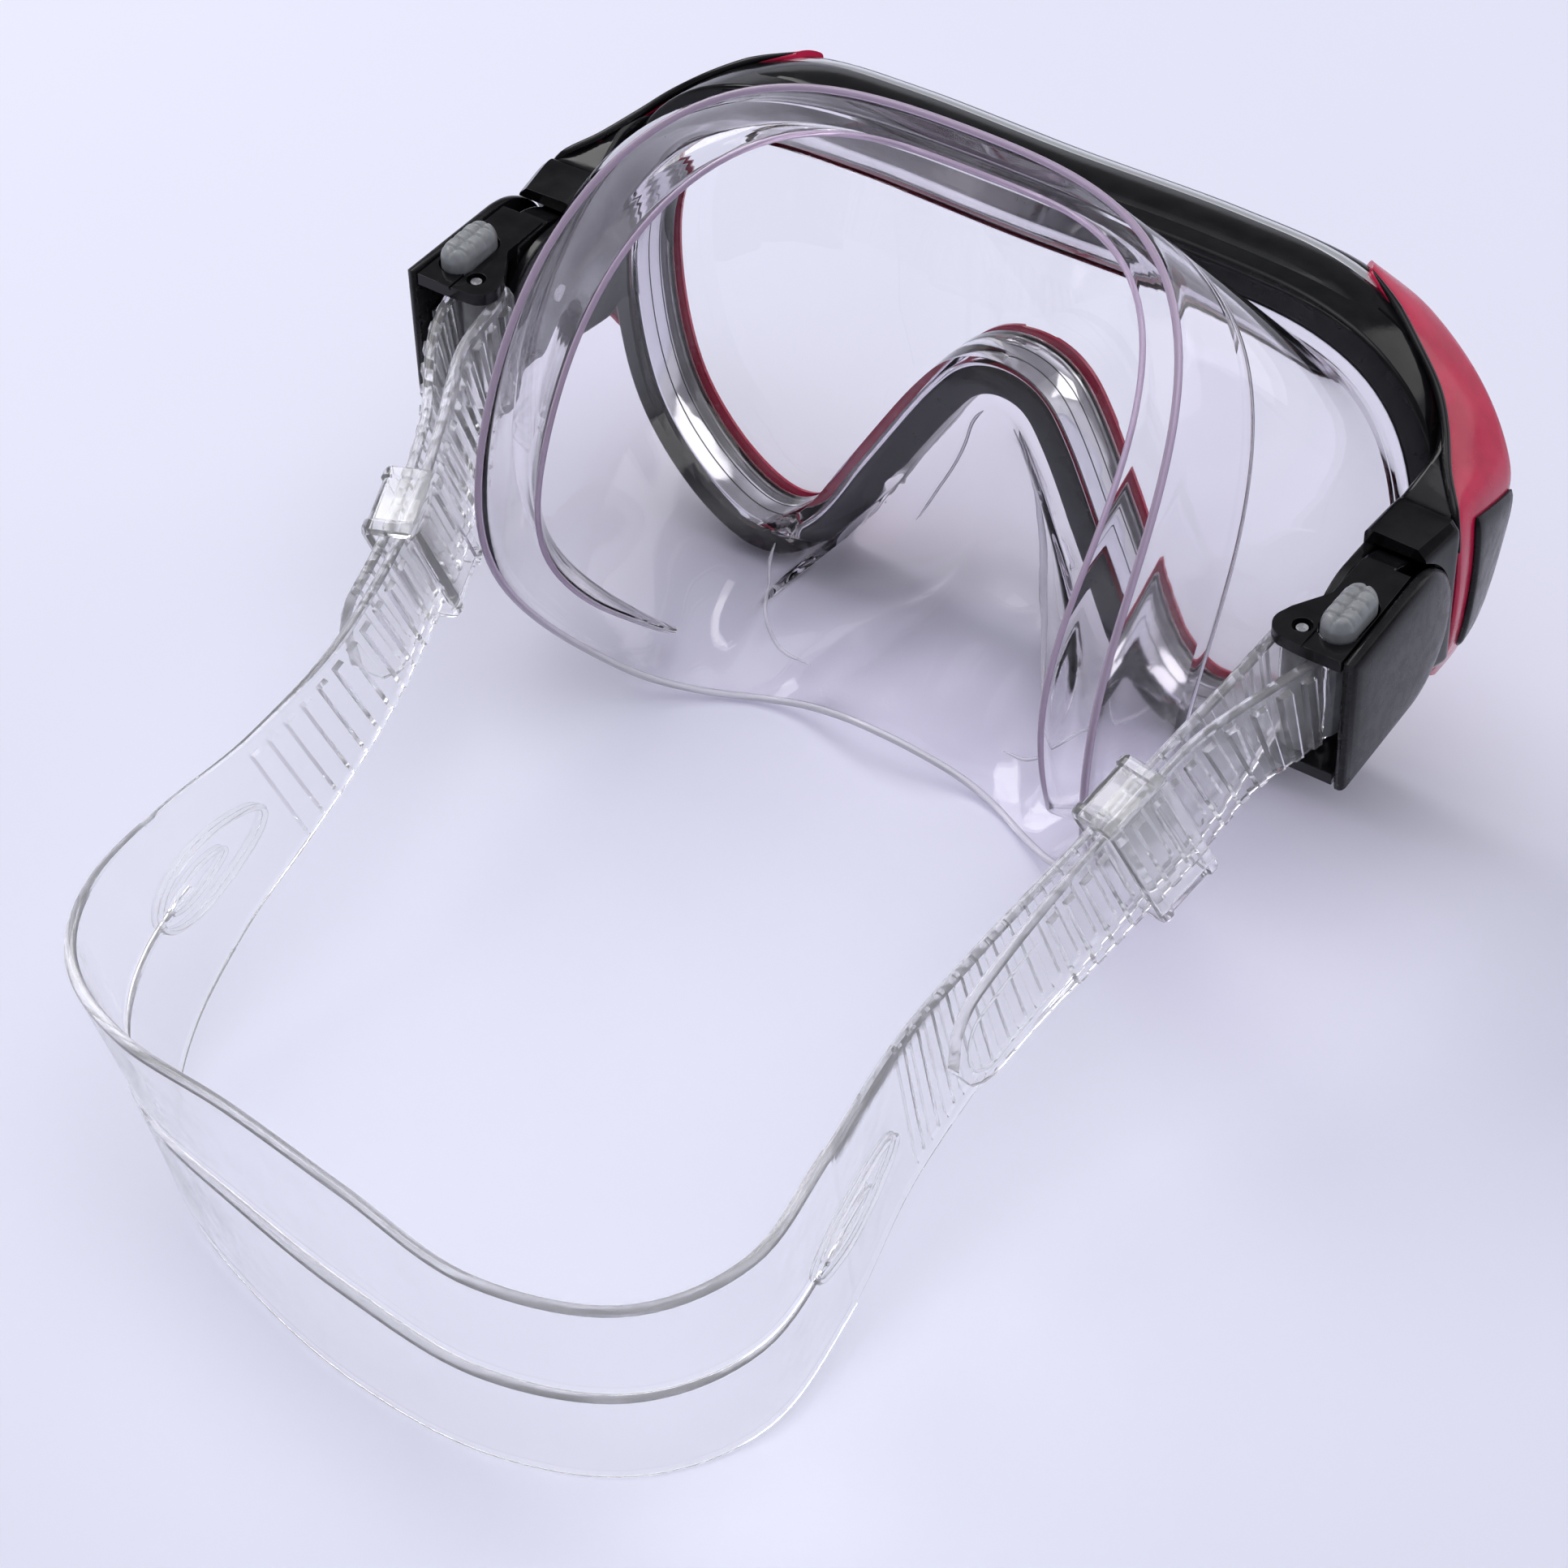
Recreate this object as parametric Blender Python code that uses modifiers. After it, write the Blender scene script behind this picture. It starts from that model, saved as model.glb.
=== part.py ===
"""Diving mask with a single flat lens, moulded skirt, tilting strap buckles and a split head strap.

The mask stands on the rims of its two lower lens lobes and on the bottom edge of the head strap.
+X is the wearer's right, +Y is where the wearer looks, +Z is up.  Sizes below are in millimetres
in the mask's own axes: X = 0 at the middle, Y = 0 at the rear edge of the buckles and Z = 0 at
the top face of the buckles.  The empty "mask_axes" carries those axes to the model's origin, the
middle of the bounding box on the table.
"""
import math

import bmesh
import bpy
from mathutils import Matrix, Vector

MM = 0.001

# ---- stance ----
ORIGIN_Y = 40.654          # the bounding box's middle lies this far behind the buckles' rear edge
ORIGIN_Z = 66.839          # height of the buckles' top face over the table

# ---- lens and front ----
LENS_TILT = 10.6           # degrees, top edge forward
LENS_Y = 56.4              # lens mid-plane at Z = 0
LENS_THICKNESS = 3.0
LENS_MARGIN = 2.2          # lens edge beyond the window
BORE_MARGIN = 2.6          # frame's inner wall beyond the window
RIM_OUTER = 8.0            # frame's outer wall beyond the window
RIM_NOTCH = 5.2            # the same inside the nose notch
FRAME_REAR = 10.5          # frame depth behind the lens mid-plane
BEZEL_FRONT = 4.4          # bezel depth in front of the lens mid-plane
GAP = 0.35                 # clearance between pieces that touch

# ---- window outline, right half, across and up the lens plane, from top middle to nose apex ----
WINDOW = [(0, 12), (30, 12.3), (52, 10.5), (65, 3), (71.5, -12), (70.5, -28), (64.5, -44),
          (54, -55), (43, -59.5), (34.5, -54.5), (26, -40), (15.5, -22), (8.5, -14), (0, -11.5)]
LOBE = 8                   # index of the lobe's lowest point in WINDOW
NOTCH_BLEND = 1.5          # points over which the rim thins into the notch
SAMPLES = 4                # outline samples for each stretch of WINDOW

# ---- side wings of the bezel, right side, from the top tip down to the lower tip ----
WING_REAR = [(54.4, 64.8, 18.6), (60.4, 61.7, 17.1), (66.5, 58.1, 14.5), (72.3, 54.1, 10.1),
             (76.0, 49.8, 6.5), (80.0, 43.8, 3.9), (84.2, 38.8, 1.3), (86.3, 36.8, -3.5),
             (86.7, 37.1, -12.0), (86.3, 37.4, -21.0), (84.8, 39.5, -28.0), (82.0, 43.5, -34.5),
             (78.5, 47.0, -42.0)]
WING_EDGE = [(52.5, 67.2, 17.6), (60.0, 68.0, 13.6), (66.0, 67.2, 10.2), (72.0, 65.0, 6.7),
             (77.0, 62.2, 3.4), (81.0, 59.4, -0.8), (83.6, 57.0, -4.7), (84.0, 55.2, -9.5),
             (83.8, 54.0, -15.0), (83.0, 53.2, -23.0), (82.0, 52.4, -31.0), (80.8, 52.0, -38.0),
             (78.0, 50.6, -44.5)]          # front edge of the wing at the same stations
WING_THICKNESS = 1.3
WING_BOW = 0.7
WING_WEB = (2.1, 5.4)      # places along WINDOW between which the wing joins the bezel ring
PAD_REACH = (7.0, 10.5)    # stations of the wing that carry the grip pad
PAD_SHARE = (0.42, 0.96)   # from the wing's rear edge to its front edge
PAD_THICKNESS = 1.6

# ---- arms of the frame: Y, inner X, outer X, lowest Z, outer edge Z, shoulder X, highest Z ----
ARM = [(27.0, 74.6, 85.4, -26.0, -0.4, 83.4, 1.6), (33.0, 75.0, 86.2, -27.5, 0.0, 83.5, 2.4),
       (35.6, 75.2, 86.2, -28.0, -0.2, 83.4, 2.6), (36.2, 75.3, 84.0, -28.0, -2.5, 81.5, 2.7),
       (42.0, 76.0, 82.6, -27.5, -5.0, 78.6, 2.6), (46.0, 76.4, 81.8, -26.0, -6.0, 77.4, 2.8),
       (50.5, 76.6, 80.8, -24.0, -8.0, 77.0, 1.0), (53.5, 76.8, 80.0, -22.0, -9.0, 77.0, -3.0)]

# ---- skirt ----
SKIRT_WALL = 1.6
SKIRT_INSET = 0.9          # wall's middle beyond the window
SKIRT_START = 2.5          # where the sill begins behind the lens mid-plane
SKIRT_RUN_OUT = 1.6        # how far the sill reaches behind the frame
BELLY = 4.0                # how far the side walls bow outward
NOSE_FADE = 2.2            # points of WINDOW over which the nose pocket swells
LOBE_SHARE = 0.79          # share of the half face edge that belongs to the rim down to the lobe
FACE_HALF_WIDTH = 57.0     # face edge
FACE_MID_Z = -6.7
FACE_TOP = 49.3
FACE_BOTTOM = 55.5
FACE_SQUARENESS = 0.53
FACE_TEMPLE_Y = -20.8
FACE_LIP_RISE = 6.7
FACE_LIP_WIDTH = 18.0
NOSE_CLEAR = 7.0           # how far the nose pocket keeps inside the notch's rim
NOSE_FORWARD = 25.0
NOSE_DROP = 19.0

# ---- buckles, right side ----
PIVOT_Y, PIVOT_Z = 21.0, -12.5       # buckle's tilt axis, along X
CHEEK_R, TONGUE_R = 11.3, 7.0        # round ends of the frame's inner cheek and outer tongue
LUG_R, COVER_R, HOLLOW_R = 12.3, 12.7, 13.2
BUCKLE_HEIGHT = 25.0
PLATE = 2.2
COVER_IN, COVER_OUT = 86.0, 88.6
ROLLER_X, ROLLER_Y, ROLLER_R = 76.9, 4.3, 2.7
STRAP_TURN_R = 4.0         # strap's mid-line round the roller
BUTTON_X, BUTTON_Y = 82.0, 9.2
BUTTON_LONG, BUTTON_WIDE = 11.5, 5.8
LEG_LOW, LEG_HIGH = (82.4, 6.0, -2.9), (84.6, 13.5, 0.6)
SLOT_LOW = -5.2
PAWL_X, PAWL_Y = 83.3, 11.0
PAWL_LOW, PAWL_HIGH = -19.5, -6.0
PAWL_PIN_R, PAWL_BORE_R = 0.75, 1.05
ROLLER_PIN_R, ROLLER_BORE_R, EAR_HOLE_R = 0.95, 1.3, 1.6
PIN_R, PIN_CLEAR = 1.5, 0.3
LEAF = [(85.2, 2.6), (85.5, 2.6), (85.65, 12.4), (85.35, 12.4)]
LEAF_LOW, LEAF_HIGH = -17.0, -9.0
CHEEK_IN, CHEEK_OUT = 74.6, 76.4
LUG_OUT = 82.3
TONGUE_IN, TONGUE_OUT = 82.65, 84.35

# ---- head strap: middle X, Y, Z, lean of the width in X and Y, width ----
STRAP_THICKNESS = 2.0
STRAP_NARROW = 19.0
TAIL_SPACING = 2.8
STRAP = [(-72.9, 4.3, -12.0, 0.00, 0.00, 19.0), (-70.8, -6.5, -13.3, -0.04, -0.14, 19.0),
         (-64.5, -19.0, -16.7, -0.08, -0.30, 19.0), (-58.3, -37.0, -22.5, -0.08, -0.30, 19.0),
         (-54.8, -58.0, -29.5, -0.22, -0.28, 19.0), (-54.9, -79.0, -35.5, -0.40, -0.16, 21.0),
         (-55.6, -98.0, -39.0, -0.40, -0.14, 27.0), (-53.3, -115.0, -41.6, -0.28, -0.22, 35.0),
         (-46.0, -128.0, -43.4, -0.13, -0.27, 41.0), (-32.2, -136.9, -44.6, -0.03, -0.18, 42.0),
         (-11.9, -141.6, -45.3, 0.02, -0.04, 42.0), (11.0, -145.4, -45.7, 0.02, 0.00, 42.0),
         (35.0, -146.6, -45.8, 0.03, -0.08, 42.0), (55.0, -138.9, -45.8, 0.06, -0.10, 42.0),
         (65.2, -122.8, -45.1, 0.04, -0.10, 42.0), (64.6, -102.5, -42.6, 0.01, -0.12, 40.0),
         (61.6, -80.0, -38.8, 0.00, -0.15, 33.0), (62.3, -57.0, -33.8, -0.10, -0.20, 23.5),
         (65.8, -36.5, -27.3, -0.20, -0.19, 19.0), (69.5, -20.0, -20.6, -0.20, -0.19, 19.0),
         (72.2, -6.5, -14.5, -0.08, -0.10, 19.0), (72.9, 4.3, -12.0, 0.00, 0.00, 19.0)]
KEEPER_LEFT, KEEPER_RIGHT = 2.8, 18.6      # places along STRAP
TAIL_LEFT, TAIL_RIGHT = 3.9, 16.4          # where the tails end
KEEPER_SIZE = (12.5, 10.0, 25.0)           # along, through and across the strap
KEEPER_BORE = (6.6, 21.0)

SIDE_NAME = {1: "right", -1: "left"}
PARTS = None
CUTTERS = None
AXES = None


# ---------------------------------------------------------------- scene helpers

def clear_scene():
    for obj in list(bpy.data.objects):
        bpy.data.objects.remove(obj, do_unlink=True)


def make_collection(name):
    coll = bpy.data.collections.new(name)
    bpy.context.scene.collection.children.link(coll)
    return coll


def make_material(name, colour, roughness, transmission=0.0):
    mat = bpy.data.materials.new(name)
    mat.use_nodes = True
    shader = mat.node_tree.nodes["Principled BSDF"]
    shader.inputs["Base Color"].default_value = (*colour, 1.0)
    shader.inputs["Roughness"].default_value = roughness
    shader.inputs["Transmission Weight"].default_value = transmission
    mat.diffuse_color = (*colour, 1.0)
    return mat


def vec(x, y, z):
    return Vector((x, y, z)) * MM


def add_object(name, bm, mat=None, parent=None, smooth_angle=40.0):
    """Turn a bmesh into an object under the mask's axes; without a material it is a cutter."""
    bmesh.ops.remove_doubles(bm, verts=bm.verts, dist=0.00001)
    bmesh.ops.recalc_face_normals(bm, faces=bm.faces)
    mesh = bpy.data.meshes.new(name)
    bm.to_mesh(mesh)
    bm.free()
    mesh.shade_smooth()
    mesh.set_sharp_from_angle(angle=math.radians(smooth_angle))
    obj = bpy.data.objects.new(name, mesh)
    if mat:
        PARTS.objects.link(obj)
        mesh.materials.append(mat)
    else:
        CUTTERS.objects.link(obj)
        obj.hide_render = True
        obj.display_type = "WIRE"
    obj.parent = parent or AXES
    return obj


def add_axis(name, x, y, z):
    """An empty on a joint's axis, under the mask's axes."""
    empty = bpy.data.objects.new(name, None)
    empty.empty_display_size = 5 * MM
    PARTS.objects.link(empty)
    empty.parent = AXES
    empty.location = vec(x, y, z)
    return empty


def hang_on(obj, empty):
    """Parent a piece to a joint's empty and leave it where it is."""
    obj.parent = empty
    obj.data.transform(Matrix.Translation(-empty.location))


def boolean(obj, other, operation):
    mod = obj.modifiers.new(operation.lower() + "_" + other.name, "BOOLEAN")
    mod.operation = operation
    mod.object = other


# ---------------------------------------------------------------- shape helpers

def catmull(points, samples):
    """Smooth curve through tuples of any length, open at both ends."""
    out = []
    count = len(points)
    for i in range(count - 1):
        p0, p1 = points[max(i - 1, 0)], points[i]
        p2, p3 = points[i + 1], points[min(i + 2, count - 1)]
        for k in range(samples):
            t = k / samples
            weights = (-0.5 * t + t * t - 0.5 * t ** 3, 1 - 2.5 * t * t + 1.5 * t ** 3,
                       0.5 * t + 2 * t * t - 1.5 * t ** 3, -0.5 * t * t + 0.5 * t ** 3)
            out.append(tuple(sum(w * p[a] for w, p in zip(weights, (p0, p1, p2, p3)))
                             for a in range(len(p1))))
    out.append(tuple(points[-1]))
    return out


def curve_at(points, place):
    """The point of catmull(points) at a place given in points, such as 2.8."""
    index = min(int(place), len(points) - 2)
    steps = 40
    return catmull(points, steps)[index * steps + round((place - index) * steps)]


def smooth_step(x):
    x = min(max(x, 0.0), 1.0)
    return x * x * (3 - 2 * x)


def box(bm, low, high):
    verts = bmesh.ops.create_cube(bm, size=1.0)["verts"]
    for v in verts:
        v.co = Vector(((low[a] + (v.co[a] + 0.5) * (high[a] - low[a])) * MM for a in range(3)))
    return verts


def cylinder(bm, radius, start, end, segments=32):
    """Closed cylinder between two points."""
    a, b = vec(*start), vec(*end)
    turn = Vector((0, 0, 1)).rotation_difference(b - a).to_matrix().to_4x4()
    return bmesh.ops.create_cone(bm, cap_ends=True, segments=segments, radius1=radius * MM,
                                 radius2=radius * MM, depth=(b - a).length,
                                 matrix=Matrix.Translation((a + b) / 2) @ turn)["verts"]


def loft(bm, sections, ends="cap", wrap=True):
    """Skin a row of point loops; ends are capped, open, or joined into a ring."""
    rows = [[bm.verts.new(p) for p in section] for section in sections]
    count = len(rows[0])
    pairs = list(zip(rows, rows[1:]))
    if ends == "ring":
        pairs.append((rows[-1], rows[0]))
    for low, high in pairs:
        for i in range(count if wrap else count - 1):
            j = (i + 1) % count
            bm.faces.new((low[i], low[j], high[j], high[i]))
    if ends == "cap":
        bm.faces.new(rows[0])
        bm.faces.new(list(reversed(rows[-1])))
    return rows


def prism(bm, outline, low, high, place):
    """Extrude a 2D outline between two levels; place maps (a, b, level) to a point."""
    loft(bm, [[place(a, b, low) for a, b in outline], [place(a, b, high) for a, b in outline]])


def side_place(y, z, x):
    """Outlines drawn in side view, levels across."""
    return vec(x, y, z)


def plan_place(x, y, z):
    """Outlines drawn in plan, levels upright."""
    return vec(x, y, z)


def arc(cx, cy, radius, start, end, steps):
    angles = [math.radians(start + (end - start) * k / steps) for k in range(steps + 1)]
    return [(cx + radius * math.cos(a), cy + radius * math.sin(a)) for a in angles]


# ---------------------------------------------------------------- lens plane

def lens_place(u, v, back):
    """A point across (u), up (v) and behind (back) the tilted lens mid-plane."""
    tilt = math.radians(LENS_TILT)
    return vec(u, LENS_Y + v * math.sin(tilt) - back * math.cos(tilt),
               v * math.cos(tilt) + back * math.sin(tilt))


def window_loop():
    """The whole window outline, clockwise from top middle, with each sample's place in WINDOW."""
    mirrored = [(-WINDOW[1][0], WINDOW[1][1])] + WINDOW + [(-WINDOW[-2][0], WINDOW[-2][1])]
    half = catmull(mirrored, SAMPLES)[SAMPLES:-SAMPLES]
    places = [k / SAMPLES for k in range(len(half))]
    loop = half + [(-u, v) for u, v in reversed(half[1:-1])]
    return loop, places + list(reversed(places[1:-1]))


def notch_share(place):
    """0 along the outside of the window, 1 inside the nose notch."""
    return smooth_step((place - LOBE) / NOTCH_BLEND)


def grow(loop, amounts):
    """Move each sample of a closed clockwise outline outward by its own amount."""
    out = []
    count = len(loop)
    for i, (u, v) in enumerate(loop):
        du = loop[(i + 1) % count][0] - loop[i - 1][0]
        dv = loop[(i + 1) % count][1] - loop[i - 1][1]
        length = math.hypot(du, dv)
        out.append((u - dv / length * amounts[i], v + du / length * amounts[i]))
    return out


def window_grown(outside, notch=None):
    loop, places = window_loop()
    notch = outside if notch is None else notch
    return grow(loop, [outside + (notch - outside) * notch_share(p) for p in places])


def ring(bm, outer, inner, front, rear, chamfer):
    """Closed ring between two outlines of the lens plane, with chamfered outer edges."""
    slim = [(o[0] + (i[0] - o[0]) * chamfer, o[1] + (i[1] - o[1]) * chamfer)
            for o, i in zip(outer, inner)]
    step = 1.2
    loft(bm, [[lens_place(u, v, front) for u, v in inner],
              [lens_place(u, v, front) for u, v in slim],
              [lens_place(u, v, front + step) for u, v in outer],
              [lens_place(u, v, rear - step) for u, v in outer],
              [lens_place(u, v, rear) for u, v in slim],
              [lens_place(u, v, rear) for u, v in inner]], ends="ring")


# ---------------------------------------------------------------- front pieces

def build_lens(mat):
    bm = bmesh.new()
    half = LENS_THICKNESS / 2
    edge, face = window_grown(LENS_MARGIN), window_grown(LENS_MARGIN - 0.5)
    loft(bm, [[lens_place(u, v, -half) for u, v in face],
              [lens_place(u, v, 0.5 - half) for u, v in edge],
              [lens_place(u, v, half - 0.5) for u, v in edge],
              [lens_place(u, v, half) for u, v in face]])
    return add_object("lens", bm, mat)


def wing_grid(side, shares, samples=3):
    """Rows of (point, outward normal) on the wing's outer face, one row for each station."""
    rear, edge = catmull(WING_REAR, samples), catmull(WING_EDGE, samples)
    rows = []
    for k in range(len(rear)):
        ahead, behind = min(k + 1, len(rear) - 1), max(k - 1, 0)
        a, b = Vector(rear[k]), Vector(edge[k])
        run = (Vector(rear[ahead]) + Vector(edge[ahead]) - Vector(rear[behind]) - Vector(edge[behind]))
        out = run.cross(b - a).normalized()
        row = []
        for share in shares:
            p = a.lerp(b, share) + out * (4 * WING_BOW * share * (1 - share))
            row.append((Vector((side * p.x, p.y, p.z)), Vector((side * out.x, out.y, out.z))))
        rows.append(row)
    return rows


def wing_solid(rows, skin, thickness):
    """Closed strip between two depths over the wing's outer face."""
    bm = bmesh.new()
    loft(bm, [[(p + n * (skin + thickness)) * MM for p, n in row]
              + [(p + n * skin) * MM for p, n in reversed(row)] for row in rows])
    return bm


def wing_web(side):
    """Flat web that joins the wing to the bezel ring."""
    loop, places = window_loop()
    samples = [i for i, place in enumerate(places[:len(places) // 2 + 1])
               if WING_WEB[0] <= place <= WING_WEB[1]]
    near = window_grown(RIM_OUTER - 1.4)
    reach = [RIM_OUTER + 0.4 + 3.0 * smooth_step((place - 2.9) / 1.0) for place in places]
    far = grow(loop, reach)
    bm = bmesh.new()
    loft(bm, [[lens_place(side * u, v, back) for (u, v), back in
               ((near[i], -BEZEL_FRONT), (far[i], -BEZEL_FRONT), (far[i], -LENS_THICKNESS / 2 - GAP),
                (near[i], -LENS_THICKNESS / 2 - GAP))] for i in samples])
    return bm


def build_bezel(mat):
    """Front bezel ring with a wing round each side of the frame."""
    bm = bmesh.new()
    ring(bm, window_grown(RIM_OUTER - 0.4, RIM_NOTCH - 0.4), window_grown(0.0),
         -BEZEL_FRONT, -LENS_THICKNESS / 2 - GAP, 0.3)
    bezel = add_object("front_bezel", bm, mat)
    for side in (1, -1):
        wing = wing_solid(wing_grid(side, (0.0, 0.5, 1.0)), -WING_THICKNESS, WING_THICKNESS)
        boolean(bezel, add_object("bezel_web_%d" % side, wing_web(side)), "UNION")
        boolean(bezel, add_object("bezel_wing_%d" % side, wing), "UNION")
    return bezel


def build_grip_pad(side, mat):
    """Soft black grip pad on the outside of the wing."""
    low, high = PAD_SHARE
    first, last = round(PAD_REACH[0] * 3), round(PAD_REACH[1] * 3)
    rows = wing_grid(side, (low, (low + high) / 2, high))[first:last + 1]
    return add_object("grip_pad_" + SIDE_NAME[side], wing_solid(rows, GAP, PAD_THICKNESS), mat)


def build_frame(mat):
    """Frame ring with an arm at each side that ends in the buckle's fork."""
    bm = bmesh.new()
    ring(bm, window_grown(RIM_OUTER, RIM_NOTCH), window_grown(BORE_MARGIN),
         -LENS_THICKNESS / 2, FRAME_REAR, 0.35)
    frame = add_object("frame", bm, mat)
    for side in (1, -1):
        for k, piece in enumerate(arm_solids(side)):
            boolean(frame, add_object("arm_%d_%d" % (side, k), piece), "UNION")
        for k, piece in enumerate(arm_cutters(side)):
            boolean(frame, add_object("arm_cut_%d_%d" % (side, k), piece), "DIFFERENCE")
    return frame


def arm_solids(side):
    """Arm from the rim back to the fork, its inner cheek and its outer tongue."""
    body = bmesh.new()
    loft(body, [[vec(side * x0, y, z0), vec(side * x1, y, z0 + 2), vec(side * x1, y, z_edge),
                 vec(side * shoulder, y, z1), vec(side * x0, y, z1)]
                for y, x0, x1, z0, z_edge, shoulder, z1 in ARM])
    cut = bmesh.new()
    cylinder(cut, HOLLOW_R, (side * (CHEEK_OUT - 0.1), PIVOT_Y, PIVOT_Z),
             (side * 92, PIVOT_Y, PIVOT_Z), 48)
    body_obj = add_object("arm_body_%d" % side, body)
    boolean(body_obj, add_object("arm_hollow_%d" % side, cut), "DIFFERENCE")
    bpy.context.view_layer.update()
    merged = bmesh.new()
    merged.from_mesh(bpy.data.meshes.new_from_object(
        body_obj.evaluated_get(bpy.context.evaluated_depsgraph_get())))
    cheek = bmesh.new()
    prism(cheek, arc(PIVOT_Y, PIVOT_Z, CHEEK_R, 90, 270, 20) + [(30.0, -23.8), (30.0, -1.2)],
          side * CHEEK_IN, side * CHEEK_OUT, side_place)
    tongue = bmesh.new()
    prism(tongue, arc(PIVOT_Y, PIVOT_Z, TONGUE_R, 90, 270, 14) + [(38.0, -19.5), (38.0, -5.5)],
          side * TONGUE_IN, side * TONGUE_OUT, side_place)
    return [merged, cheek, tongue]


def arm_cutters(side):
    hole = bmesh.new()
    cylinder(hole, PIN_R + PIN_CLEAR, (side * 70, PIVOT_Y, PIVOT_Z), (side * 90, PIVOT_Y, PIVOT_Z), 20)
    return [hole]


# ---------------------------------------------------------------- skirt

def face_edge(angle):
    """Point of the skirt's edge on the face: 90 degrees is the forehead, -90 the upper lip."""
    c, s = math.cos(math.radians(angle)), math.sin(math.radians(angle))
    x = FACE_HALF_WIDTH * math.copysign(abs(c) ** FACE_SQUARENESS, c)
    reach = FACE_TOP if s > 0 else FACE_BOTTOM
    z = FACE_MID_Z + reach * math.copysign(abs(s) ** FACE_SQUARENESS, s)
    if s < 0:
        z += FACE_LIP_RISE * math.exp(-(x / FACE_LIP_WIDTH) ** 2) * s * s
    rise = (z - FACE_MID_Z) / 50
    bow = 8.2 * (1 - (x / FACE_HALF_WIDTH) ** 2)
    return x, FACE_TEMPLE_Y + bow + 17.9 * rise + 27.8 * rise * rise, z


def face_row(places):
    """Face-edge points for the window samples, spaced by length along the edge."""
    fine = [face_edge(90 - 180 * k / 240) for k in range(241)]
    lengths = [0.0]
    for a, b in zip(fine, fine[1:]):
        lengths.append(lengths[-1] + math.dist(a, b))
    row = []
    half = len(places) // 2
    last = len(WINDOW) - 1
    for k, place in enumerate(places):
        if place <= LOBE:
            share = LOBE_SHARE * place / LOBE
        else:
            share = LOBE_SHARE + (1 - LOBE_SHARE) * (place - LOBE) / (last - LOBE)
        target = share * lengths[-1]
        i = max(j for j, reach in enumerate(lengths) if reach <= target + 1e-9)
        x, y, z = fine[i]
        row.append((x if k <= half else -x, y, z))
    return row


def build_skirt(mat):
    """Soft skirt: a wall behind the lens rim that opens out to the face edge, with a nose pocket."""
    loop, places = window_loop()
    face = [vec(*p) for p in face_row(places)]
    sill = grow(loop, [SKIRT_INSET] * len(loop))
    rows = [[lens_place(u, v, back) for u, v in sill]
            for back in (SKIRT_START, FRAME_REAR + SKIRT_RUN_OUT)]
    clear = grow(loop, [SKIRT_INSET + NOSE_CLEAR * notch_share(p) for p in places])
    start = [lens_place(u, v, FRAME_REAR + SKIRT_RUN_OUT + GAP) for u, v in clear]
    rows.append([(a + b) / 2 + vec(0, -1.2, 0) for a, b in zip(rows[-1], start)])
    rows.append(start)
    steps = 8
    for k in range(1, steps + 1):
        t = k / steps
        hump = math.sin(math.pi * min(t * 1.08, 1.0)) ** 0.8
        row = []
        for a, b, place in zip(start, face, places):
            nose = smooth_step((place - LOBE - NOTCH_BLEND) / NOSE_FADE)
            bulge = vec(0, NOSE_FORWARD, -NOSE_DROP) * (nose * hump)
            belly = Vector((a.x, 0, 0)).normalized() * (1 - nose) * BELLY * MM * hump
            row.append(a.lerp(b, t) + bulge + belly)
        rows.append(row)
    bm = bmesh.new()
    loft(bm, rows, ends="open")
    skirt = add_object("skirt", bm, mat)
    solid = skirt.modifiers.new("wall", "SOLIDIFY")
    solid.thickness = SKIRT_WALL * MM
    solid.offset = 0.0
    return skirt


# ---------------------------------------------------------------- buckles

def pill(cx, cy, length, width, steps=8):
    """Outline of a slot with round ends, long in Y."""
    radius, straight = width / 2, (length - width) / 2
    return arc(cx, cy + straight, radius, 0, 180, steps) + arc(cx, cy - straight, radius, 180, 360, steps)


def plate_outline(side):
    """Plan of the chassis plates: a tapered plate with the roller's ear on its inner side."""
    half = [(85.8, 0.2), (85.1, 22.5), (77.0, 22.5), (77.0, 13.0), (73.4, 7.2)]
    half += arc(76.0, 4.0, 3.6, 150, 250, 6) + [(78.6, 0.2)]
    return [(side * x, y) for x, y in half]


def build_chassis(side, mats, tilt):
    name = SIDE_NAME[side]
    top = bmesh.new()
    prism(top, plate_outline(side), -PLATE, 0.0, plan_place)
    chassis = add_object("buckle_chassis_" + name, top, mats["black"])
    bottom = bmesh.new()
    prism(bottom, plate_outline(side), -BUCKLE_HEIGHT, PLATE - BUCKLE_HEIGHT, plan_place)
    lug = bmesh.new()
    prism(lug, [(13.2, -0.8), (13.2, -24.2)] + arc(PIVOT_Y, PIVOT_Z, LUG_R, -80, 80, 20),
          side * (CHEEK_OUT + 0.4), side * LUG_OUT, side_place)
    for tag, piece in (("plate", bottom), ("lug", lug)):
        boolean(chassis, add_object("chassis_%s_%d" % (tag, side), piece), "UNION")
    slot = bmesh.new()
    prism(slot, pill(side * BUTTON_X, BUTTON_Y, BUTTON_LONG + 0.8, BUTTON_WIDE + 0.8), SLOT_LOW, 1.0,
          plan_place)
    holes = bmesh.new()
    cylinder(holes, PIN_R + PIN_CLEAR, (side * 70, PIVOT_Y, PIVOT_Z), (side * 90, PIVOT_Y, PIVOT_Z), 20)
    ear = bmesh.new()
    cylinder(ear, EAR_HOLE_R, (side * ROLLER_X, ROLLER_Y, -30), (side * ROLLER_X, ROLLER_Y, 5), 20)
    for tag, piece in (("slot", slot), ("pin", holes), ("ear", ear)):
        boolean(chassis, add_object("chassis_cut_%s_%d" % (tag, side), piece), "DIFFERENCE")
    hang_on(chassis, tilt)


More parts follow.
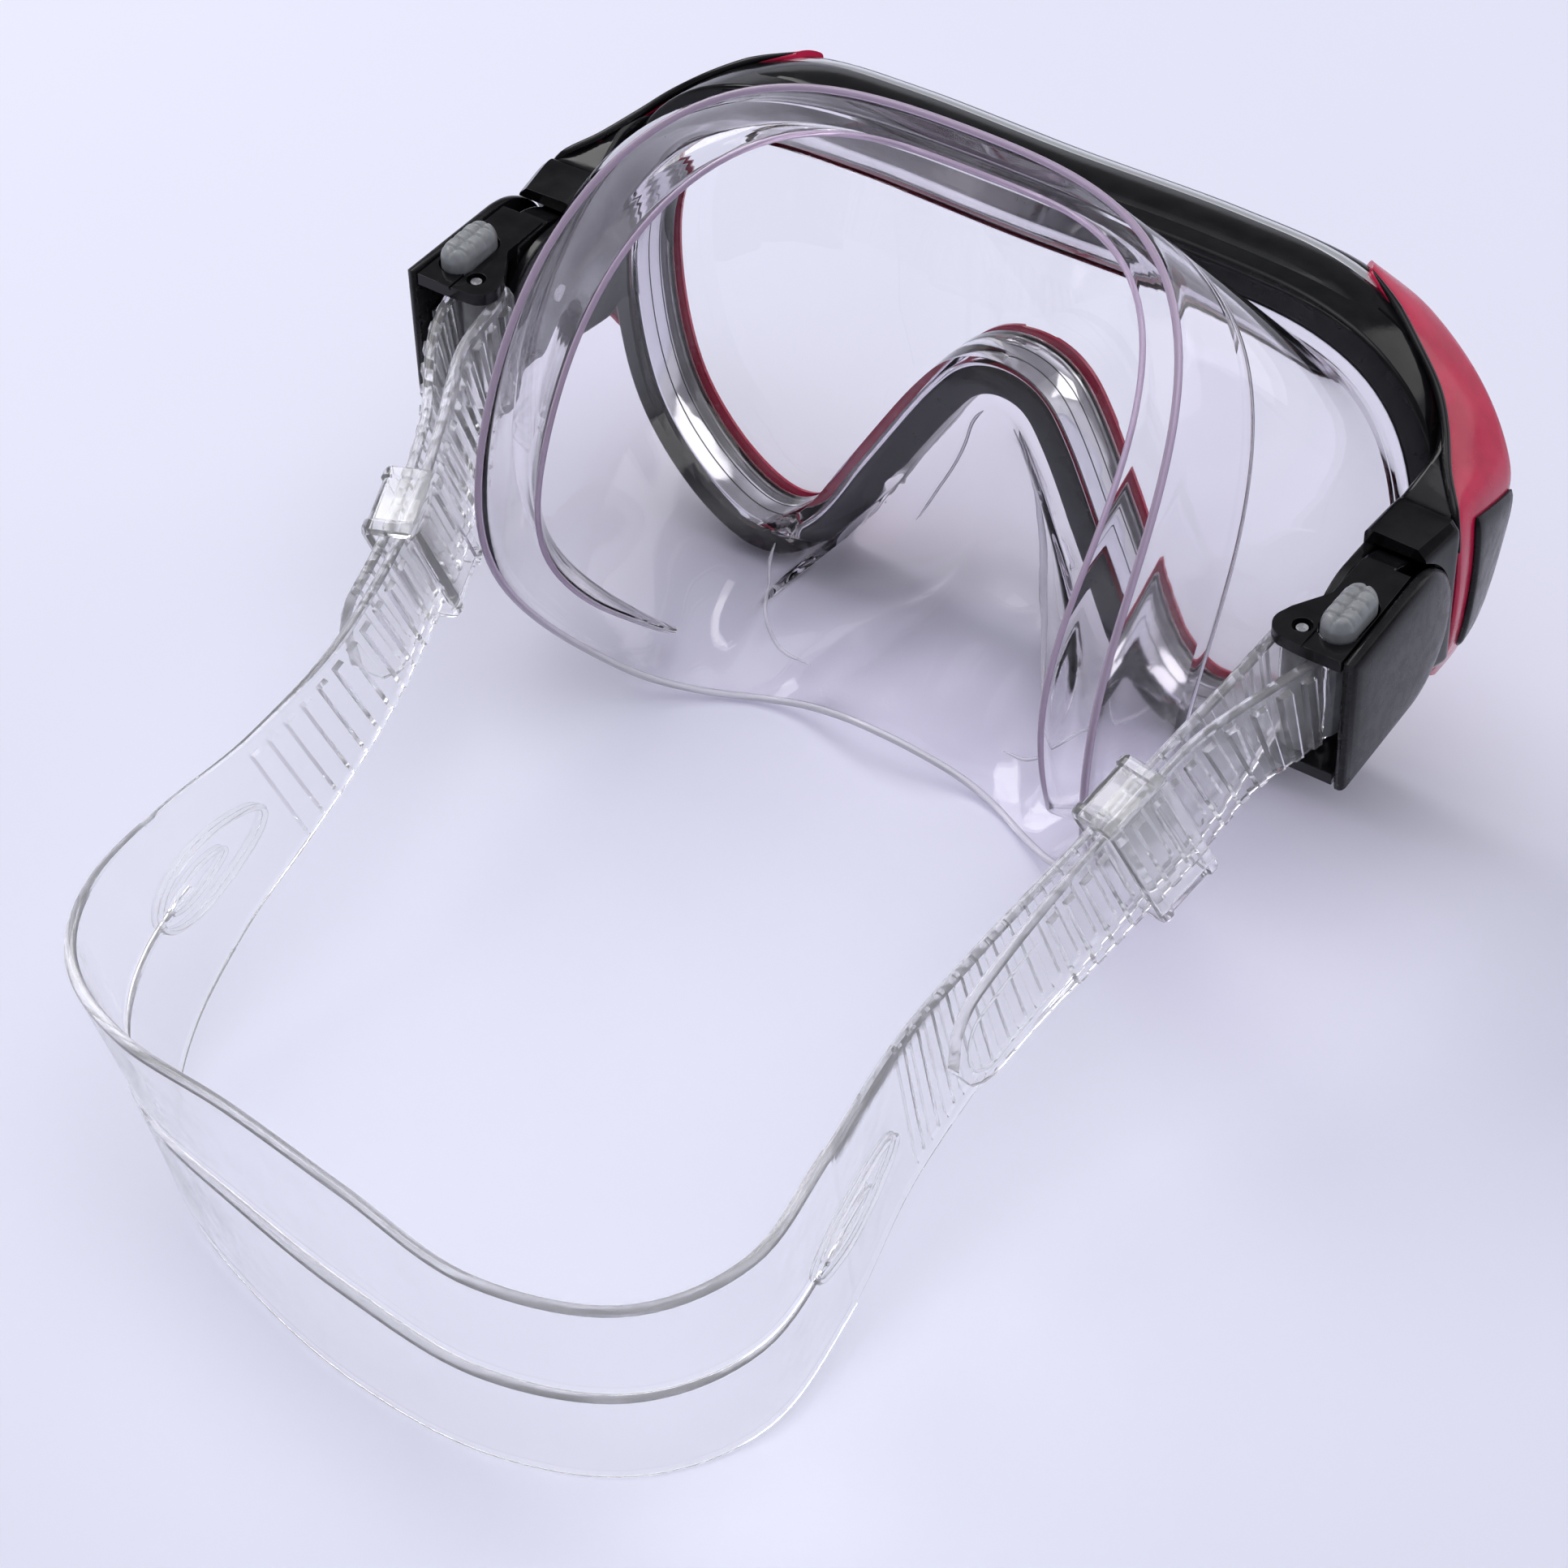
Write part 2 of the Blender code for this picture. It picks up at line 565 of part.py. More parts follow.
def build_cover(side, mat, tilt):
    """Outer shield of the buckle: straight at the rear, round about the pivot at the front."""
    def outline(inset):
        radius = COVER_R - inset
        return ([(inset, PIVOT_Z + radius), (inset, PIVOT_Z - radius)]
                + arc(PIVOT_Y, PIVOT_Z, radius, -90, 90, 20))
    bm = bmesh.new()
    levels = [(0.0, COVER_IN), (0.0, COVER_OUT - 1.3), (0.9, COVER_OUT - 0.4), (3.0, COVER_OUT)]
    loft(bm, [[vec(side * x, y, z) for y, z in outline(inset)] for inset, x in levels])
    lean = math.tan(math.radians(3.0))
    for v in bm.verts:
        v.co.x += side * (7 * MM - v.co.y) * lean * 0.5
    cover = add_object("buckle_cover_" + SIDE_NAME[side], bm, mat)
    hang_on(cover, tilt)


def build_roller(side, mats, tilt):
    name = SIDE_NAME[side]
    x, low, high = side * ROLLER_X, PLATE - BUCKLE_HEIGHT + 0.4, -PLATE - 0.4
    spin = add_axis("roller_axis_" + name, x, ROLLER_Y, 0)
    tube = bmesh.new()
    cylinder(tube, ROLLER_R, (x, ROLLER_Y, low), (x, ROLLER_Y, high), 32)
    roller = add_object("roller_" + name, tube, mats["satin"])
    bore = bmesh.new()
    cylinder(bore, ROLLER_BORE_R, (x, ROLLER_Y, low - 1), (x, ROLLER_Y, high + 1), 20)
    boolean(roller, add_object("roller_bore_%d" % side, bore), "DIFFERENCE")
    hang_on(roller, spin)
    pin = bmesh.new()
    cylinder(pin, ROLLER_PIN_R, (x, ROLLER_Y, -BUCKLE_HEIGHT + 0.3), (x, ROLLER_Y, -0.5), 20)
    hang_on(add_object("roller_pin_" + name, pin, mats["steel"]), tilt)


def build_button(side, mats):
    name = SIDE_NAME[side]
    axis = add_axis("button_axis_" + name, side * BUTTON_X, BUTTON_Y, 0)
    bm = bmesh.new()
    levels = [(-0.4, 0.0), (1.6, 0.0), (2.8, 0.5), (3.5, 1.5)]
    loft(bm, [[vec(x, y, z) for x, y in pill(side * BUTTON_X, BUTTON_Y, BUTTON_LONG - 2 * inset,
                                             BUTTON_WIDE - 2 * inset)] for z, inset in levels])
    button = add_object("release_button_" + name, bm, mats["grey"])
    leg = bmesh.new()
    across = sorted((side * LEG_LOW[0], side * LEG_HIGH[0]))
    box(leg, (across[0], *LEG_LOW[1:]), (across[1], *LEG_HIGH[1:]))
    leg_obj = add_object("button_leg_%d" % side, leg)
    boolean(button, leg_obj, "UNION")
    hang_on(button, axis)


def build_pawl(side, mats, tilt):
    """Ratchet pawl on an upright pin, with its leaf spring against the cover."""
    name = SIDE_NAME[side]
    low, high = PAWL_LOW, PAWL_HIGH
    axis = add_axis("pawl_axis_" + name, side * PAWL_X, PAWL_Y, 0)
    bm = bmesh.new()
    outline = arc(PAWL_X, PAWL_Y, 1.7, -10, 160, 10) + [(82.2, 8.0), (82.2, 3.4), (83.1, 4.4), (84.0, 7.0)]
    prism(bm, [(side * x, y) for x, y in outline], low, high, plan_place)
    pawl = add_object("ratchet_pawl_" + name, bm, mats["grey"])
    bore = bmesh.new()
    cylinder(bore, PAWL_BORE_R, (side * PAWL_X, PAWL_Y, low - 1), (side * PAWL_X, PAWL_Y, high + 1), 16)
    boolean(pawl, add_object("pawl_bore_%d" % side, bore), "DIFFERENCE")
    hang_on(pawl, axis)
    pin = bmesh.new()
    cylinder(pin, PAWL_PIN_R, (side * PAWL_X, PAWL_Y, PLATE - BUCKLE_HEIGHT + 0.3),
             (side * PAWL_X, PAWL_Y, SLOT_LOW), 16)
    hang_on(add_object("pawl_pin_" + name, pin, mats["steel"]), tilt)
    leaf = bmesh.new()
    prism(leaf, [(side * x, y) for x, y in LEAF], LEAF_LOW, LEAF_HIGH, plan_place)
    hang_on(add_object("pawl_spring_" + name, leaf, mats["steel"]), tilt)


def build_buckle(side, mats):
    name = SIDE_NAME[side]
    tilt = add_axis("buckle_axis_" + name, side * 80, PIVOT_Y, PIVOT_Z)
    build_chassis(side, mats, tilt)
    build_cover(side, mats["black"], tilt)
    build_roller(side, mats, tilt)
    build_button(side, mats)
    build_pawl(side, mats, tilt)
    pin = bmesh.new()
    cylinder(pin, PIN_R, (side * (CHEEK_IN - 0.1), PIVOT_Y, PIVOT_Z),
             (side * (TONGUE_OUT + 0.1), PIVOT_Y, PIVOT_Z), 20)
    add_object("swivel_pin_" + name, pin, mats["steel"])


# ---------------------------------------------------------------- strap and keepers

def strap_frame(place):
    """Middle, run, outward and upward directions and width at a place along STRAP."""
    here = curve_at(STRAP, place)
    ahead, behind = curve_at(STRAP, place + 0.05), curve_at(STRAP, place - 0.05)
    run = (Vector(ahead[:3]) - Vector(behind[:3])).normalized()
    up = Vector((here[3], here[4], 1.0))
    up = (up - run * up.dot(run)).normalized()
    return vec(*here[:3]), run, run.cross(up), up, here[5]


def strap_section(middle, out, up, width):
    thin, tall = out * STRAP_THICKNESS / 2 * MM, up * width / 2 * MM
    return [middle - thin - tall, middle + thin - tall, middle + thin + tall, middle - thin + tall]


def turn_sections(side):
    """The strap's half turn round a roller, from the face side to the outer side."""
    steps = 8
    out = []
    for k in range(1, steps):
        a = math.pi * k / steps
        ray = Vector((-side * math.cos(a), math.sin(a), 0))
        middle = vec(side * ROLLER_X, ROLLER_Y, -12.0) + ray * STRAP_TURN_R * MM
        out.append(strap_section(middle, ray, Vector((0, 0, 1)), STRAP_NARROW))
    return out


def tail_sections(side, end_place, keeper_place):
    """The free tail: from the roller's outer side to the keeper, then along the main band."""
    roller = vec(side * (ROLLER_X + STRAP_TURN_R), ROLLER_Y, -12.0)
    direction = -1 if side > 0 else 1
    begin = 0.0 if side < 0 else len(STRAP) - 1.0
    steps = 22
    out = []
    for k in range(steps + 1):
        place = begin + (end_place - begin) * k / steps
        middle, run, outward, up, width = strap_frame(min(max(place, 0.05), len(STRAP) - 1.05))
        share = smooth_step((place - begin) / (keeper_place + 0.75 * -direction - begin))
        beside = middle + outward * TAIL_SPACING * MM
        away = (roller - vec(side * (ROLLER_X - STRAP_TURN_R), ROLLER_Y, -12.0)) * (1 - share)
        beside = beside - outward * TAIL_SPACING * MM * (1 - share) + away
        if k == 0:
            beside, up = roller, Vector((0, 0, 1))
            outward = Vector((side, 0, 0))
        tip = min(1.0, 0.45 + 0.55 * (steps - k) / 2)
        out.append(strap_section(beside, outward, up, STRAP_NARROW * tip))
    return out


def build_strap(mat):
    """One band: left tail, round the left roller, the loop, round the right roller, right tail."""
    last = len(STRAP) - 1
    count = 84
    loop = []
    for k in range(count + 1):
        middle, run, outward, up, width = strap_frame(min(max(last * k / count, 0.05), last - 0.05))
        if k in (0, count):
            side = -1 if k == 0 else 1
            middle = vec(side * (ROLLER_X - STRAP_TURN_R), ROLLER_Y, -12.0)
            outward, up = Vector((side, 0, 0)), Vector((0, 0, 1))
        loop.append(strap_section(middle, outward, up, width))
    left = tail_sections(-1, TAIL_LEFT, KEEPER_LEFT)
    right = tail_sections(1, TAIL_RIGHT, KEEPER_RIGHT)

    def flip(section):
        return [section[1], section[0], section[3], section[2]]
    left_turn = [flip(s) for s in turn_sections(-1)]
    right_turn = [flip(s) for s in turn_sections(1)]
    sections = ([flip(s) for s in reversed(left)] + list(reversed([flip(s) for s in left_turn]))
                + loop + right_turn + [flip(s) for s in right])
    bm = bmesh.new()
    loft(bm, sections)
    return add_object("head_strap", bm, mat, smooth_angle=50)


def build_keeper(side, place, mat):
    """Clear sleeve that holds the tail against the main band; it slides along the strap."""
    middle, run, outward, up, width = strap_frame(place)
    centre = middle + outward * TAIL_SPACING / 2 * MM
    basis = Matrix((run, outward, up)).transposed().to_4x4()
    along, through, across = KEEPER_SIZE
    bm = bmesh.new()
    box(bm, (-along / 2, -through / 2, -across / 2), (along / 2, through / 2, across / 2))
    bmesh.ops.bevel(bm, geom=bm.edges[:], offset=0.8 * MM, segments=1, affect="EDGES")
    keeper = add_object("keeper_" + SIDE_NAME[side], bm, mat)
    bore = bmesh.new()
    box(bore, (-along, -KEEPER_BORE[0] / 2, -KEEPER_BORE[1] / 2),
        (along, KEEPER_BORE[0] / 2, KEEPER_BORE[1] / 2))
    cutter = add_object("keeper_bore_%d" % side, bore)
    for obj in (keeper, cutter):
        obj.matrix_local = Matrix.Translation(centre) @ basis
    boolean(keeper, cutter, "DIFFERENCE")


# ---------------------------------------------------------------- assembly

def build_all():
    global PARTS, CUTTERS, AXES
    clear_scene()
    PARTS = make_collection("diving_mask")
    CUTTERS = make_collection("cutters")
    AXES = bpy.data.objects.new("mask_axes", None)
    PARTS.objects.link(AXES)
    AXES.location = vec(0, ORIGIN_Y, ORIGIN_Z)
    mats = {
        "black": make_material("black_plastic", (0.012, 0.012, 0.014), 0.22),
        "crimson": make_material("crimson_plastic", (0.55, 0.02, 0.09), 0.25),
        "grey": make_material("grey_plastic", (0.22, 0.23, 0.24), 0.4),
        "satin": make_material("satin_roller", (0.2, 0.2, 0.21), 0.45),
        "steel": make_material("steel_pin", (0.55, 0.56, 0.58), 0.3),
        "glass": make_material("lens_glass", (0.9, 0.95, 0.96), 0.02, 0.9),
        "skirt": make_material("clear_skirt", (0.82, 0.8, 0.86), 0.15, 0.8),
        "strap": make_material("clear_strap", (0.85, 0.85, 0.87), 0.25, 0.7),
    }
    build_frame(mats["black"])
    build_lens(mats["glass"])
    build_bezel(mats["crimson"])
    build_skirt(mats["skirt"])
    for side in (1, -1):
        build_grip_pad(side, mats["black"])
        build_buckle(side, mats)
    build_strap(mats["strap"])
    build_keeper(-1, KEEPER_LEFT, mats["strap"])
    build_keeper(1, KEEPER_RIGHT, mats["strap"])


build_all()
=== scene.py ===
import math

import bmesh
import bpy
from mathutils import Matrix, Vector


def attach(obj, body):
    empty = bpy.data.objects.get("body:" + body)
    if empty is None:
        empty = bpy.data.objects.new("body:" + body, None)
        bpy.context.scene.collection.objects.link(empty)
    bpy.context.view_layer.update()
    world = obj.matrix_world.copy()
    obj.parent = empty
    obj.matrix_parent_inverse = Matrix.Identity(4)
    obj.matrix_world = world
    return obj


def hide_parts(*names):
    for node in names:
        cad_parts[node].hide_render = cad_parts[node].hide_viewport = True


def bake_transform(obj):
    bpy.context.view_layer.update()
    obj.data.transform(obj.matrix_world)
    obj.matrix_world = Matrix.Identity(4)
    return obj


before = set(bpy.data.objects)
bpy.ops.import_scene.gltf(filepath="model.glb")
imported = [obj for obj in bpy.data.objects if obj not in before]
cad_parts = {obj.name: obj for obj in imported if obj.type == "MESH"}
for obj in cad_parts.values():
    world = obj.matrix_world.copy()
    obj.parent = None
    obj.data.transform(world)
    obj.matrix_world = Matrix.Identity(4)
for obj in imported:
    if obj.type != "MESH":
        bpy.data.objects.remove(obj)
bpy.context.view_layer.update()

MM = 0.001
ORIGIN = Vector((0.0, 40.654, 66.839))
SIDES = {1: "right", -1: "left"}

# ---- the mask's sizes, in millimetres in its own axes ----
LENS_TILT = math.radians(10.6)
LENS_Y = 56.4
WINDOW = [(0, 12), (30, 12.3), (52, 10.5), (65, 3), (71.5, -12), (70.5, -28), (64.5, -44),
          (54, -55), (43, -59.5), (34.5, -54.5), (26, -40), (15.5, -22), (8.5, -14), (0, -11.5)]
LOBE = 8
NOTCH_BLEND = 1.5
SAMPLES = 8
RIM_INNER, RIM_OUTER, RIM_NOTCH = 2.6, 8.0, 7.6
FRAME_REAR = 10.5
FACE_HALF_WIDTH, FACE_MID_Z, FACE_TOP, FACE_BOTTOM = 57.0, -6.7, 49.3, 55.5
FACE_SQUARENESS, FACE_TEMPLE_Y = 0.53, -20.8
PIVOT_Y, PIVOT_Z = 21.0, -12.5
BUCKLE_HEIGHT, PLATE = 25.0, 2.2
ROLLER_X, ROLLER_Y, ROLLER_R = 76.9, 4.3, 2.7
BUTTON_X, BUTTON_Y = 82.0, 9.2
STRAP_TURN_R = 4.0
STRAP = [(-72.9, 4.3, -12.0, 0.00, 0.00, 19.0), (-70.8, -6.5, -13.3, -0.04, -0.14, 19.0),
         (-64.5, -19.0, -16.7, -0.08, -0.30, 19.0), (-58.3, -37.0, -22.5, -0.08, -0.30, 19.0),
         (-54.8, -58.0, -29.5, -0.22, -0.28, 19.0), (-54.9, -79.0, -35.5, -0.40, -0.16, 21.0),
         (-55.6, -98.0, -39.0, -0.40, -0.14, 27.0), (-53.3, -115.0, -41.6, -0.28, -0.22, 35.0),
         (-46.0, -128.0, -43.4, -0.13, -0.27, 41.0), (-32.2, -136.9, -44.6, -0.03, -0.18, 42.0),
         (-11.9, -141.6, -45.3, 0.02, -0.04, 42.0), (11.0, -145.4, -45.7, 0.02, 0.00, 42.0),
         (35.0, -146.6, -45.8, 0.03, -0.08, 42.0), (55.0, -138.9, -45.8, 0.06, -0.10, 42.0),
         (65.2, -122.8, -45.1, 0.04, -0.10, 42.0), (64.6, -102.5, -42.6, 0.01, -0.12, 40.0),
         (61.6, -80.0, -38.8, 0.00, -0.15, 33.0), (62.3, -57.0, -33.8, -0.10, -0.20, 23.5),
         (65.8, -36.5, -27.3, -0.20, -0.19, 19.0), (69.5, -20.0, -20.6, -0.20, -0.19, 19.0),
         (72.2, -6.5, -14.5, -0.08, -0.10, 19.0), (72.9, 4.3, -12.0, 0.00, 0.00, 19.0)]
STRAP_THICKNESS, STRAP_WIDTH, STRAP_Z, TAIL_SPACING = 2.0, 19.0, -12.0, 2.8
STATIONS = 24
KEEPER = {-1: 2.8, 1: 18.6}
TAIL_END = {-1: 3.9, 1: 16.4}
KEEPER_BORE = 3.8, 10.6
RIB_PITCH = 4.0


# ---- materials ----

def material(name, colour, roughness, **sockets):
    mat = bpy.data.materials.new(name)
    mat.use_nodes = True
    shader = mat.node_tree.nodes["Principled BSDF"]
    shader.inputs["Base Color"].default_value = (*colour, 1.0)
    shader.inputs["Roughness"].default_value = roughness
    for key, value in sockets.items():
        shader.inputs[key.replace("_", " ")].default_value = value
    mat.diffuse_color = (*colour, 1.0)
    return mat


def feed(mat, output, socket):
    """Link an output to a socket of the material's shader."""
    mat.node_tree.links.new(output, mat.node_tree.nodes["Principled BSDF"].inputs[socket])


def add_node(tree, kind, source=None, socket=None, **values):
    """A node with some inputs set and, if given, one input linked from a source."""
    node = tree.nodes.new("ShaderNode" + kind)
    for key, value in values.items():
        node.inputs[key.replace("_", " ")].default_value = value
    if source:
        tree.links.new(source, node.inputs[socket])
    return node


def noise_in(mat, scale, detail=3.0):
    """Factor of a noise that is fixed to the piece."""
    place = add_node(mat.node_tree, "TexCoord").outputs["Object"]
    return add_node(mat.node_tree, "TexNoise", place, "Vector", Scale=scale, Detail=detail).outputs["Fac"]


def vary_roughness(mat, scale, low, high):
    span = add_node(mat.node_tree, "MapRange", noise_in(mat, scale), "Value",
                    From_Min=0.35, From_Max=0.65, To_Min=low, To_Max=high)
    feed(mat, span.outputs["Result"], "Roughness")


def vary_colour(mat, scale, dark, light):
    ramp = add_node(mat.node_tree, "ValToRGB", noise_in(mat, scale, 4.0), "Fac")
    for stop, place, colour in zip(ramp.color_ramp.elements, (0.35, 0.65), (dark, light)):
        stop.position = place
        stop.color = (*colour, 1.0)
    feed(mat, ramp.outputs["Color"], "Base Color")


def bump(mat, scale, strength, distance):
    node = add_node(mat.node_tree, "Bump", noise_in(mat, scale, 2.0), "Height",
                    Strength=strength, Distance=distance)
    feed(mat, node.outputs["Normal"], "Normal")


def lamps_pass(mat, shade):
    """Clear pieces throw only a faint shadow."""
    tree = mat.node_tree
    clear = add_node(tree, "BsdfTransparent", Color=(*shade, 1.0))
    mix = add_node(tree, "MixShader")
    tree.links.new(add_node(tree, "LightPath").outputs["Is Shadow Ray"], mix.inputs[0])
    tree.links.new(tree.nodes["Principled BSDF"].outputs["BSDF"], mix.inputs[1])
    tree.links.new(clear.outputs["BSDF"], mix.inputs[2])
    tree.links.new(mix.outputs["Shader"], tree.nodes["Material Output"].inputs["Surface"])


def tinted_depth(mat, colour, density):
    tree = mat.node_tree
    body = add_node(tree, "VolumeAbsorption", Color=(*colour, 1.0), Density=density)
    tree.links.new(body.outputs["Volume"], tree.nodes["Material Output"].inputs["Volume"])


def height_in(tree, output):
    """The upward part of one of the coordinates."""
    place = add_node(tree, "TexCoord").outputs[output]
    return add_node(tree, "SeparateXYZ", place, "Vector").outputs["Z"]


def mauve_upward(mat):
    """The skirt's thick free edge gathers a mauve tint above the table."""
    tree = mat.node_tree
    span = add_node(tree, "MapRange", height_in(tree, "Object"), "Value", From_Min=0.01, From_Max=0.035)
    ramp = add_node(tree, "ValToRGB", span.outputs["Result"], "Fac")
    ramp.color_ramp.elements[0].color = (0.86, 0.86, 0.9, 1.0)
    ramp.color_ramp.elements[1].color = (0.64, 0.53, 0.67, 1.0)
    feed(mat, ramp.outputs["Color"], "Base Color")


FINISHES = {}


def finish(key, slot, name, colour, roughness, gloss, shades=None, grain=None, shadow=None, **sockets):
    """Make a material and keep it under a key, with the record's slot that it belongs to."""
    mat = material(name, colour, roughness, **sockets)
    if shades:
        vary_colour(mat, *shades)
    vary_roughness(mat, *gloss)
    if grain:
        bump(mat, *grain)
    if shadow:
        lamps_pass(mat, shadow)
    FINISHES[key] = (mat, slot)
    return mat


# gloss is (noise scale, low, high), shades (noise scale, dark, light), grain (noise scale, strength, depth)
finish("black", "black_plastic", "black_gloss_plastic", (0.005, 0.005, 0.006), 0.12, (320, 0.08, 0.18),
       (240, (0.004, 0.004, 0.005), (0.008, 0.008, 0.009)), (900, 0.05, 0.0002), Specular_IOR_Level=0.24)
finish("satin_black", "black_plastic", "black_satin_plastic", (0.006, 0.006, 0.007), 0.26, (420, 0.22, 0.32),
       (300, (0.005, 0.005, 0.006), (0.009, 0.009, 0.01)), (2200, 0.12, 0.0001), Specular_IOR_Level=0.2)
finish("crimson", "crimson_plastic", "crimson_gloss_plastic", (0.5, 0.008, 0.055), 0.2, (300, 0.16, 0.28),
       (160, (0.45, 0.006, 0.05), (0.56, 0.011, 0.065)), Specular_IOR_Level=0.3, Coat_Weight=0.15,
       Coat_Roughness=0.08)
finish("grey", "grey_plastic", "grey_button_plastic", (0.24, 0.25, 0.26), 0.38, (700, 0.3, 0.46),
       (500, (0.21, 0.22, 0.23), (0.27, 0.28, 0.29)), (2600, 0.15, 0.0001))
finish("roller", "satin_roller", "satin_roller_plastic", (0.17, 0.17, 0.175), 0.42, (500, 0.36, 0.5),
       (400, (0.15, 0.15, 0.155), (0.2, 0.2, 0.205)))
finish("steel", "steel_pin", "steel_pin", (0.6, 0.6, 0.62), 0.28, (900, 0.2, 0.36), Metallic=1.0)
tinted_depth(finish("skirt", "clear_skirt", "clear_skirt_pvc", (0.985, 0.975, 0.99), 0.03, (60, 0.01, 0.05),
                    grain=(45, 0.12, 0.001), shadow=(0.86, 0.85, 0.88), Transmission_Weight=1.0, IOR=1.34),
             (0.68, 0.46, 0.76), 16.0)
finish("strap", "clear_strap", "clear_strap_pvc", (0.975, 0.975, 0.98), 0.06, (90, 0.04, 0.14),
       grain=(120, 0.15, 0.0005), shadow=(0.86, 0.86, 0.88), Transmission_Weight=0.93, IOR=1.3)
finish("keeper", "clear_strap", "clear_keeper_plastic", (0.99, 0.99, 0.99), 0.05, (120, 0.015, 0.06),
       shadow=(0.86, 0.86, 0.88), Transmission_Weight=0.94, IOR=1.36)
finish("glass", "lens_glass", "lens_glass", (0.985, 0.995, 0.99), 0.0, (30, 0.0, 0.004),
       shadow=(0.95, 0.96, 0.96), Transmission_Weight=1.0, IOR=1.45)
# painted reflection: silvery metallic strips stand in for the light reflected inside the clear sill where it
# lines the frame's bore
finish("sheen", "clear_skirt", "sill_painted_reflection", (0.84, 0.84, 0.88), 0.1, (150, 0.05, 0.2),
       grain=(110, 0.35, 0.0006), Metallic=0.85)
# painted highlight: a light-grey metallic strip on the black brow stands in for a highlight on the glossy
# black lip
finish("brow_highlight", "black_plastic", "painted_brow_highlight", (0.7, 0.71, 0.75), 0.1, (200, 0.08, 0.2),
       Metallic=0.6, Coat_Weight=0.5)
mauve_upward(finish("rim", "clear_skirt", "clear_skirt_rim", (0.66, 0.55, 0.69), 0.12, (80, 0.08, 0.2),
                    shadow=(0.8, 0.78, 0.84), Transmission_Weight=0.55, IOR=1.3, Coat_Weight=0.4,
                    Coat_Roughness=0.05))
finish("fold", "clear_skirt", "clear_skirt_fold", (0.9, 0.9, 0.94), 0.1, (90, 0.06, 0.16),
       shadow=(0.86, 0.85, 0.88), Transmission_Weight=0.7, IOR=1.3)


# ---- mesh helpers (millimetres) ----

def piece(name, bm, finish, body, node=None, angle=40.0, bevel=0.0, weld=True):
    """Turn a bmesh in the mask's millimetres into an object that rides on a body."""
    if weld:
        bmesh.ops.remove_doubles(bm, verts=bm.verts, dist=0.005)
        bmesh.ops.recalc_face_normals(bm, faces=bm.faces)
    for v in bm.verts:
        v.co = (v.co + ORIGIN) * MM
    mesh = bpy.data.meshes.new(name)
    bm.to_mesh(mesh)
    bm.free()
    mesh.shade_smooth()
    mesh.set_sharp_from_angle(angle=math.radians(angle))
    obj = bpy.data.objects.new(name, mesh)
    bpy.context.scene.collection.objects.link(obj)
    if finish:
        mat, slot = FINISHES[finish]
        mesh.materials.append(mat)
    if bevel:
        mod = obj.modifiers.new("rounded_edges", "BEVEL")
        mod.width = bevel * MM
        mod.segments = 3
        mod.limit_method = "ANGLE"
        mod.angle_limit = math.radians(35)
        mod.harden_normals = False
    if body:
        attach(obj, body)
    if node:
        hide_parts(node)
    return obj


def apply_booleans(bm, cutters):
    """Cut bmeshes out of one and return the result as a new bmesh."""
    base = piece("boolean_base", bm, None, None)
    others = [piece("boolean_other_%d" % k, other, None, None) for k, other in enumerate(cutters)]
    for other in others:
        mod = base.modifiers.new("boolean", "BOOLEAN")
        mod.operation = "DIFFERENCE"
        mod.object = other
        mod.solver = "EXACT"
    bpy.context.view_layer.update()
    mesh = bpy.data.meshes.new_from_object(base.evaluated_get(bpy.context.evaluated_depsgraph_get()))
    out = bmesh.new()
    out.from_mesh(mesh)
    for v in out.verts:
        v.co = v.co / MM - ORIGIN
    for obj in [base] + others:
        bpy.data.objects.remove(obj, do_unlink=True)
    bpy.data.meshes.remove(mesh)
    return out


def catmull(points, samples):
    out = []
    count = len(points)
    for i in range(count - 1):
        p0, p1 = points[max(i - 1, 0)], points[i]
        p2, p3 = points[i + 1], points[min(i + 2, count - 1)]
        for k in range(samples):
            t = k / samples
            w = (-0.5 * t + t * t - 0.5 * t ** 3, 1 - 2.5 * t * t + 1.5 * t ** 3,
                 0.5 * t + 2 * t * t - 1.5 * t ** 3, -0.5 * t * t + 0.5 * t ** 3)
            out.append(tuple(sum(c * p[a] for c, p in zip(w, (p0, p1, p2, p3))) for a in range(len(p1))))
    out.append(tuple(points[-1]))
    return out


def curve_at(points, place, steps=200):
    index = min(int(place), len(points) - 2)
    part = points[max(index - 1, 0):index + 3]
    offset = index - max(index - 1, 0)
    return catmull(part, steps)[offset * steps + round((place - index) * steps)]


def smooth_step(x):
    x = min(max(x, 0.0), 1.0)
    return x * x * (3 - 2 * x)


def loft(bm, sections, ends="cap", wrap=True):
    rows = [[bm.verts.new(p) for p in section] for section in sections]
    count = len(rows[0])
    pairs = list(zip(rows, rows[1:]))
    if ends == "ring":
        pairs.append((rows[-1], rows[0]))
    for low, high in pairs:
        for i in range(count if wrap else count - 1):
            j = (i + 1) % count
            bm.faces.new((low[i], low[j], high[j], high[i]))
    if ends == "cap":
        bm.faces.new(rows[0])
        bm.faces.new(list(reversed(rows[-1])))
    return rows


def prism(outline, low, high, place):
    bm = bmesh.new()
    loft(bm, [[place(a, b, low) for a, b in outline], [place(a, b, high) for a, b in outline]])
    return bm


def side_place(y, z, x):
    """Place for an outline drawn in side view."""
    return Vector((x, y, z))


def plan_place(x, y, z):
    """Place for an outline drawn in plan."""
    return Vector((x, y, z))


def arc(cx, cy, radius, start, end, steps):
    angles = [math.radians(start + (end - start) * k / steps) for k in range(steps + 1)]
    return [(cx + radius * math.cos(a), cy + radius * math.sin(a)) for a in angles]


